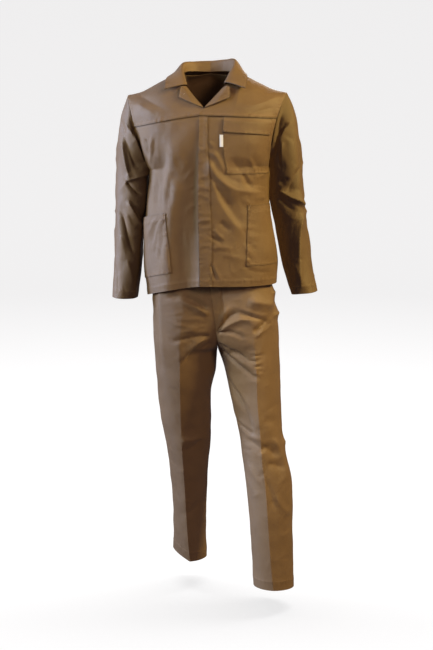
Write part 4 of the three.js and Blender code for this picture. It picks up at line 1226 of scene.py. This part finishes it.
def add(panel, restsOn, material="twill"):
    made = panel.build(cloths[material])
    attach(made, "root")
    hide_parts(panel.name)
    runs = panel.stitches()
    width, length, cut = panel.size
    flat = (round(width, 3), round(length, 3))
    sizes[panel.name] = [*flat, round(cut, 4)]
    # the rounded flat size is never smaller than the cut area
    [sew(panel.name + "_stitches", runs, panel.jacket)] if runs else []
    return panel


# Jacket

hemWork = edge([18], hem=20)
single, double = sewing["single"], sewing["double"]
fronts = {name: frontForm(name) for name in sides}
left = fronts["left"]
frontPanels = {
    "columns": {"left": 232, "right": 225},  # mm across
    "overlap": 4,  # how far the front runs up under its yoke
    "sink": -1.5,
    "armholeStitches": 346,  # mm up the side at which the armhole's stitches start
    "placketEdge": 3.4,
    # painted shadow along the yoke seam: how dark it is on the front, and under the yoke's edge
    "yokeShadow": {"left": (0.8, 0.7), "right": (0.5, 0.35)},  # on the front and under the yoke
    "yokeRows": [1.8, 7.6],
    "corner": 0.03,  # the left yoke's front corner reaches out over the other yoke
    "cornerLift": 1.3,
}


def addFront(name):
    cut = frontPanels
    onFrontShadow = cut["yokeShadow"][name][0]
    # painted shadow: on the front below the yoke's edge, and on the right front beside the placket's edge
    work = {"end": edge(double, over=0.5) | {"from": cut["armholeStitches"]}, "bottom": hemWork,
            "top": edge(shadow=onFrontShadow, place=cut["overlap"] + 1.6)}
    if name == "right":
        work["start"] = edge(shadow=0.55, place=cut["placketEdge"])
    add(Panel("jacket_front_" + name, fronts[name], spaced([0, 1], cut["columns"][name]),
              spaced([hem, yoke + cut["overlap"]]), work,
              lambda s, h: cut["sink"] * ease(h, yoke - 7, yoke - 1)),
        ["jacket_yoke_" + name, "jacket_back"])


def addYoke(name):
    cut, point, lift = frontPanels, fronts[name].point, 0
    if name == "left":
        point = lambda s, h: left.point(s - cut["corner"] * (1 - s) ** 6 * (1 - ease(h, 1503, 1517)), h)
        lift = lambda s, h: cut["cornerLift"] * (1 - s) ** 4 * (1 - ease(h, 1508, 1521))
    # painted shadow along the armhole and under the yoke's lower edge
    work = {"end": edge(double, 0.2, over=0.5),
            "bottom": edge(cut["yokeRows"], cut["yokeShadow"][name][1], over=1.0)}
    rows = spaced([yoke - 0.5, jacketCut["rollRise"][1], suit["neckHeight"]], [24, 180], (True, False))
    add(Panel("jacket_yoke_" + name, fronts[name], spaced([0, 1], 232), rows, work, lift, at=point),
        ["collar", "jacket_back"])


def addHipPocket(name):
    pocket = hipPockets[name]
    first, last, foot, top = [pocket[key] for key in ("from", "to", "bottom", "top")]

    def gape(s, h):
        across = np.clip((s - first) / (last - first), 0, 1)
        return layer + pocket["gape"] * ease(h, 0.5 * (foot + top), top) * np.sin(math.pi * across)
    # painted shadow lines along the pocket's edges and below its mouth
    work = {"start": edge(double, 0.6), "end": edge(single, 0.5), "bottom": edge(double, 0.6),
            "top": edge([20], 0.4, hem=22)}
    columns = spaced([first, last], (last - first) * frontPanels["columns"][name])
    panel = add(Panel("hip_pocket_" + name, fronts[name], columns, spaced([foot, top]), work, gape),
                ["jacket_front_" + name])
    runs = [tack for s in (first + 0.03, last - 0.03) for tack in barTack(panel, s, top - 4, 9, 1.3)]
    sew("hip_pocket_" + name + "_tacks", runs, material="paleThread")


def addSleeve(name):
    # painted shadow along the armhole seam at the sleeve's head
    work = {"bottom": edge(under=0.8, shadow=0.25, place=0.5), "top": edge([24], hem=26)}
    add(Panel("sleeve_" + name, sleeveForm(name), np.linspace(0.5, 1.5, int(620 / suit["grid"])),
              spaced([0, 0.14, 1], [55, 540]), work), ["jacket_yoke_" + name, "jacket_back"])


for name in sides:
    for addPiece in (addFront, addYoke, addHipPocket, addSleeve):
        addPiece(name)
print("fronts, yokes, pockets and sleeves")

backForm = Form(backPoint, -1, backFolds, swell=0.8, seed=5, low=(-1, 0), step=0.002)
shoulderLines = {name: fronts[name].point(np.linspace(0, 1, 80), np.full(80, float(suit["neckHeight"])))
                 for name in sides}


def onShoulder(s, v):
    # the top of the back is sewn to the yokes along the shoulders
    point, top = backForm.point(s, v), backForm.point(s, np.ones_like(v))
    for name, side in sides.items():
        line = shoulderLines[name]
        line = line[np.argsort(side * line[:, 0])]
        amount = ease(side * s, 0.25, jacketCut["neckWidth"]) * ease(v, 0.9, 1)
        for axis in (1, 2):
            sewn = np.interp(side * top[..., 0], side * line[:, 0], line[:, axis])
            point[..., axis] += amount * (sewn - top[..., axis])
    return point


add(Panel("jacket_back", backForm, spaced([-1, 0, 1], [235, 235]), spaced([0, 1], 640, (True, False)),
          {"start": edge(under=0.4), "end": edge(under=0.4), "bottom": hemWork}, at=onShoulder), ["collar"])
stitch = [collarCut["stitch"]]
# painted shadow lines along the collar's edges
add(Panel("collar", collarForm(), spaced([-1, 0, 1], [190, 190]), spaced([0, 1], 88, (False, True), 4),
          {"top": edge(stitch, 0.6), "start": edge(stitch, 0.5), "end": edge(stitch, 0.5)},
          collarCut["thick"], collarCut["thick"]), ["jacket_back"])


def addLapel(name, s, v, width, turn, thread):
    form, roll, stitch = lapelForm(name), lapelCut["roll"], [lapelCut["stitch"]]

    def rolled(s, v):
        # before s = 0 the lapel turns round its fold to the front's own edge
        point = form.at(np.maximum(s, 0), v)
        ahead = unit(form.at(np.zeros_like(s), v) - form.at(np.full_like(s, 0.04), v))
        turn = np.clip(-s / roll, 0, 1) * math.pi
        away = np.broadcast_to(np.array([0, 2.4, -0.9]), point.shape)
        bent = point + away * (1 - np.cos(turn))[..., None] * 0.5 + ahead * 2.0 * np.sin(turn)[..., None]
        return np.where((s < 0)[..., None], bent, point)
    columns = np.concatenate([np.linspace(-roll, 0, 6)[:-1], spaced([0, 1], 76, (False, True), 4)])
    # painted shadow lines along the lapel's lower edge and its end
    work = {"bottom": edge(stitch) | {"joint": [(0, 0.9), (1.5, 0.5)]}, "end": edge(stitch, 0.7)}
    panel = add(Panel("lapel_" + name, form, columns, spaced([0, 1], 45, (True, False), 3), work,
                      thick=lapelCut["thick"], at=rolled), ["jacket_yoke_" + name])
    sew("lapel_" + name + "_mark", barTack(panel, s, v, width, turn), material=thread)


addLapel("left", 0.62, 0.5, 12, 0.4, "thread")
addLapel("right", 0.7, 0.45, 4, 0.6, "paleThread")

placket = {  # it narrows upwards: inner and outer are its edges at the levels
    "inner": [-0.006, -0.022],
    "outer": [0.143, 0.1, 0.077],
    "levels": [1060, 1270, 1490],
    "tack": 1067,
    "puckerGap": 25.0,
}


def placketPoint(s, h):
    low, middle, high = placket["levels"]
    foot, waist, top = placket["outer"]
    inner = blend(*placket["inner"], ease(h, hem, middle))
    outer = blend(foot, waist, ease(h, low, middle))
    outer = outer - (waist - top) * ease(h, middle, high)
    return left.point(blend(inner, outer, s), h)


def placketLift(s, h):
    # it is drawn up in small level puckers by the stitching of its buttonhole strip
    dice = np.random.default_rng(29)
    height = layer + 0.5
    for level in np.arange(hem + 40, yoke - 20, placket["puckerGap"]):
        level = level + dice.uniform(-5, 5)
        depth = dice.uniform(0.3, 1.9) * (0.6 + ease(level, 1100, 1200) * (1 - ease(level, 1380, 1440)))
        bent = h - level - dice.uniform(-13, 13) * (s - 0.5)
        ridge = depth * np.exp(-(bent / dice.uniform(3.5, 6.5)) ** 2)
        height = height + ridge * np.sin(math.pi * np.clip(s, 0, 1)) ** 0.6
    return height * (1 - 0.85 * ease(h, yoke - 12, yoke - 3))


# painted shadow lines along the placket's edges
panel = add(Panel("front_placket", left, spaced([0, 1], 30), spaced([hem, yoke - 1]),
                  {"start": edge([2.2], 0.6), "end": edge(single, 0.5), "bottom": hemWork},
                  placketLift, at=placketPoint, pucker=0.5), ["jacket_front_left"])
sew("front_placket_tack", barTack(panel, 0.93, placket["tack"], 8, 1.5), material="paleThread")

chest = {"from": 0.255, "to": 0.93, "bottom": 1331, "mouth": 1460, "flap": 1452, "across": 145}
columns = spaced([chest["from"], chest["to"]], chest["across"])
# painted shadow lines along the pocket's edges, under the flap's lower edge across the mouth, and under the
# yoke's edge above the flap
add(Panel("chest_pocket", left, columns, spaced([chest["bottom"], chest["mouth"]]),
          {"start": edge(single, 0.5), "end": edge(single, 0.5), "bottom": edge(double, 0.6),
           "top": edge(shadow=0.8, place=9)}, layer), ["jacket_front_left"])
panel = add(Panel("chest_pocket_flap", left, columns, spaced([chest["flap"], yoke - 1], 45),
                  {"start": edge(single, 0.4), "end": edge(single, 0.4), "bottom": edge(single, 0.7),
                   "top": edge(shadow=0.85, place=1)},
                  lambda s, h: (2 * layer * (1 - 0.9 * ease(h, yoke - 14, yoke - 4))
                                + 0.8 * (1 - ease(h, chest["flap"], chest["flap"] + 14)))),
            ["jacket_front_left"])
runs = [tack for s in (chest["from"] + 0.02, chest["to"] - 0.02)
        for tack in barTack(panel, s, chest["flap"] + 4, 8)]
sew("chest_pocket_tacks", runs, material="paleThread")

label = {"from": 0.216, "to": 0.258, "low": 1410, "high": 1445, "thick": 0.5}


def labelLift(s, h):
    return 1.6 + 1.4 * np.sin(math.pi * (s - label["from"]) / 0.06) * (1.1 - (h - label["low"]) / 60)


add(Panel("pocket_label", left, np.linspace(label["from"], label["to"], 9),
          np.linspace(label["low"], label["high"], 24), None, labelLift, label["thick"]),
    ["chest_pocket"], material="label")
print("jacket done")


# Trousers

waistSeam, waistTop = trouserCut["waistSeam"], trouserCut["waistTop"]
sidePocket, fly = trouserCut["sidePocket"], trouserCut["fly"]
legForms = {(name, face): legForm(name, face) for name in sides for face in (-1, 1)}
leftLeg = legForms["left", -1]


def mouthAt(h):
    # where the slanted mouth of the side pocket cuts the front
    return blend(1, sidePocket["mouthTop"], ease(h, sidePocket["foot"], waistSeam + 40) ** 0.8)


def addLeg(name):
    foot, fork = trouserCut["hem"][name], 800
    front, back = legForms[name, -1], legForms[name, 1]
    rows, columns = spaced([foot, fork, waistSeam], tight=(True, False)), spaced([0, 0.5, 1], [112, 112])
    hemmed = edge([trouserCut["hemDepth"] - 2], hem=trouserCut["hemDepth"])
    add(Panel("trouser_front_" + name, front, columns, rows, {"bottom": hemmed, "end": edge(over=0.4)},
              at=lambda s, h: front.point(s * mouthAt(h), h), jacket=False), ["waistband"])
    add(Panel("trouser_back_" + name, back, columns, rows, {"bottom": hemmed, "end": edge(under=0.4)},
              jacket=False), ["waistband"])
    rows = spaced([sidePocket["foot"] + 5, waistSeam], 125, (False, False))
    add(Panel("side_pocket_" + name, front, np.linspace(-0.06, 1, 12), rows, None, -layer + 0.2,
              at=lambda s, h: front.point(blend(mouthAt(h), 1, s), h), jacket=False), ["waistband"])


def flyPoint(s, h):
    return leftLeg.point(s * fly["outer"] * np.sqrt(np.clip((h - fly["foot"]) / fly["bend"], 0.02, 1)), h)


def waistAt(s, h):
    quarters = [(("right", -1), 1), (("right", 1), -1), (("left", 1), 1), (("left", -1), -1)]
    which = np.clip(np.floor(s * 4).astype(int), 0, 3)
    share = s * 4 - which
    total = np.zeros(s.shape + (3,))
    for k, (key, way) in enumerate(quarters):
        here = which == k
        if here.any():
            total[here] = legForms[key].point((share if way > 0 else 1 - share)[here], h[here])
    return total


for name in sides:
    addLeg(name)
add(Panel("trouser_fly", leftLeg, spaced([0.01, 1], 34, step=3.5),
          spaced([fly["foot"], waistSeam], tight=(False, False)),
          {"end": edge([1.6, 6.5]), "start": edge([2.0])}, 1.5, at=flyPoint, jacket=False),
    ["trouser_front_left"])
band = Form(waistAt, -1)
add(Panel("waistband", band, np.linspace(0, 1, 170), spaced([waistSeam, waistTop]),
          {"bottom": edge(single, over=0.5), "top": edge([3])}, jacket=False),
    ["trouser_back_left", "trouser_back_right"])
print("trousers done")
for name, (width, length, cut) in sizes.items():
    print("cut", name, width, length, cut)


# Stage, light and camera

bowl = {"flat": 7.0, "bend": 3.0, "top": 8.0, "turns": 48, "bendSteps": 12, "paint": 0.3, "glow": 0.78}


def stageBowl():
    # round floor that curves up into a backdrop on all sides
    flat, bend, turns, steps = bowl["flat"], bowl["bend"], bowl["turns"], bowl["bendSteps"]
    profile = [(0.02, 0.0), (1.5, 0.0), (4.0, 0.0), (flat, 0.0)]
    for k in range(1, steps + 1):
        a = k / steps * math.pi / 2
        profile.append((flat + bend * math.sin(a), bend - bend * math.cos(a)))
    profile.append((flat + bend, bowl["top"]))
    floor = -suit["originHeight"] / 1000
    vertices = []
    for radius, height in profile:
        for k in range(turns):
            a = 2 * math.pi * k / turns
            vertices.append((radius * math.cos(a), radius * math.sin(a), height + floor))
    faces = [list(range(turns))]
    for i in range(len(profile) - 1):
        for k in range(turns):
            after = (k + 1) % turns
            faces.append([i * turns + k, (i + 1) * turns + k, (i + 1) * turns + after, i * turns + after])
    mesh = bpy.data.meshes.new("backdrop")
    mesh.from_pydata(vertices, [], faces)
    mesh.shade_smooth()
    made = bpy.data.objects.new("backdrop", mesh)
    bpy.context.scene.collection.objects.link(made)
    material, maker, paint = newMaterial("backdrop_paint")
    paint["Base Color"].default_value = (bowl["paint"], bowl["paint"], bowl["paint"], 1)
    paint["Roughness"].default_value = 0.9
    paint["Specular IOR Level"].default_value = 0.0
    paint["Emission Color"].default_value = (1, 1, 1, 1)
    paint["Emission Strength"].default_value = bowl["glow"]
    mesh.materials.append(material)
    made.visible_diffuse = False
    made.visible_glossy = False


# What a lamp can light, or be shaded by: all of the suit, all but the left sleeve, all but both sleeves,
# the front of the left leg, or the backdrop
groupTests = {
    "suit": lambda name: name != "backdrop",
    "body": lambda name: name != "backdrop" and "sleeve_left" not in name,
    "trunk": lambda name: name != "backdrop" and "sleeve" not in name,
    "thigh": lambda name: "trouser_front_left" in name,
    "stage": lambda name: name == "backdrop",
}
# name, place, aim, size, watts, colour, what it lights and what casts its shadows
lights = [
    ["cool_side", (-3.4, 0.25, 0.45), (0, 0, -0.4), (0.8, 1.8), 206, (0.53, 0.66, 1.0), "suit", "suit"],
    ["left_front", (-3.1, -1.4, 0.5), (0, 0, -0.4), (0.8, 1.6), 75, (0.97, 0.97, 0.76), "body", "suit"],
    ["warm_high", (3.2, -0.9, 1.9), (0, 0, -0.2), (0.8, 1.0), 196, (1.0, 0.77, 0.27), "suit", "body"],
    ["front_high", (2.0, -3.0, 1.4), (0, 0, -0.3), (0.9, 0.9), 58, (1.0, 0.7, 0.46), "trunk", "suit"],
    ["thigh_fill", (-1.0, -1.2, 0.2), (0.08, -0.1, -0.8), (0.4, 0.4), 22, (0.82, 0.9, 1.0), "thigh", "suit"],
    ["behind", (0.6, 4.4, 1.4), (0, 0, -0.5), (1.6, 1.6), 80, (1.0, 0.93, 0.85), "suit", "suit"],
    ["backdrop_light", (0, 0.6, 2.8), (0, 2.6, -0.9), (5.0, 1.2), 260, (1.0, 1.0, 1.0), "stage", "suit"],
]
studio = {
    "world": (1.0, 0.77, 0.84, 1),
    "worldStrength": 0.12,
    "lens": 64.25,
    "film": 36,
    "camera": (0.025, -3.5, -0.16),
    "lookDown": 9.6,  # degrees
}


def areaLight(name, place, target, size, watts, colour, reaches, shades):
    light = bpy.data.lights.new(name, "AREA")
    light.shape = "RECTANGLE"
    light.size, light.size_y = size
    light.energy = watts
    light.color = colour
    made = bpy.data.objects.new(name, light)
    x, y, z = [b - a for a, b in zip(place, target)]
    made.location = place
    made.rotation_euler = (math.atan2(math.hypot(x, y), -z), 0, math.atan2(-x, y))
    made.light_linking.receiver_collection = groups[reaches]
    if shades != "suit":
        made.light_linking.blocker_collection = groups[shades]
    bpy.context.scene.collection.objects.link(made)


stageBowl()
groups = {name: bpy.data.collections.new(name + "_lit") for name in groupTests}
for made in [item for item in bpy.data.objects if item.type == "MESH"]:
    for name, test in groupTests.items():
        if test(made.name):
            groups[name].objects.link(made)
for entry in lights:
    areaLight(*entry)
world = bpy.data.worlds.new("studio")
world.use_nodes = True
background = world.node_tree.nodes["Background"].inputs
background["Color"].default_value = studio["world"]
background["Strength"].default_value = studio["worldStrength"]
scene = bpy.context.scene
scene.world = world
scene.view_settings.view_transform = "Standard"
camera = bpy.data.cameras.new("camera")
camera.lens = studio["lens"]
camera.sensor_width = studio["film"]
shot = bpy.data.objects.new("camera", camera)
shot.location = studio["camera"]
shot.rotation_euler = (math.radians(90 - studio["lookDown"]), 0, 0)
scene.collection.objects.link(shot)
scene.camera = shot
print("stage, lights and camera")
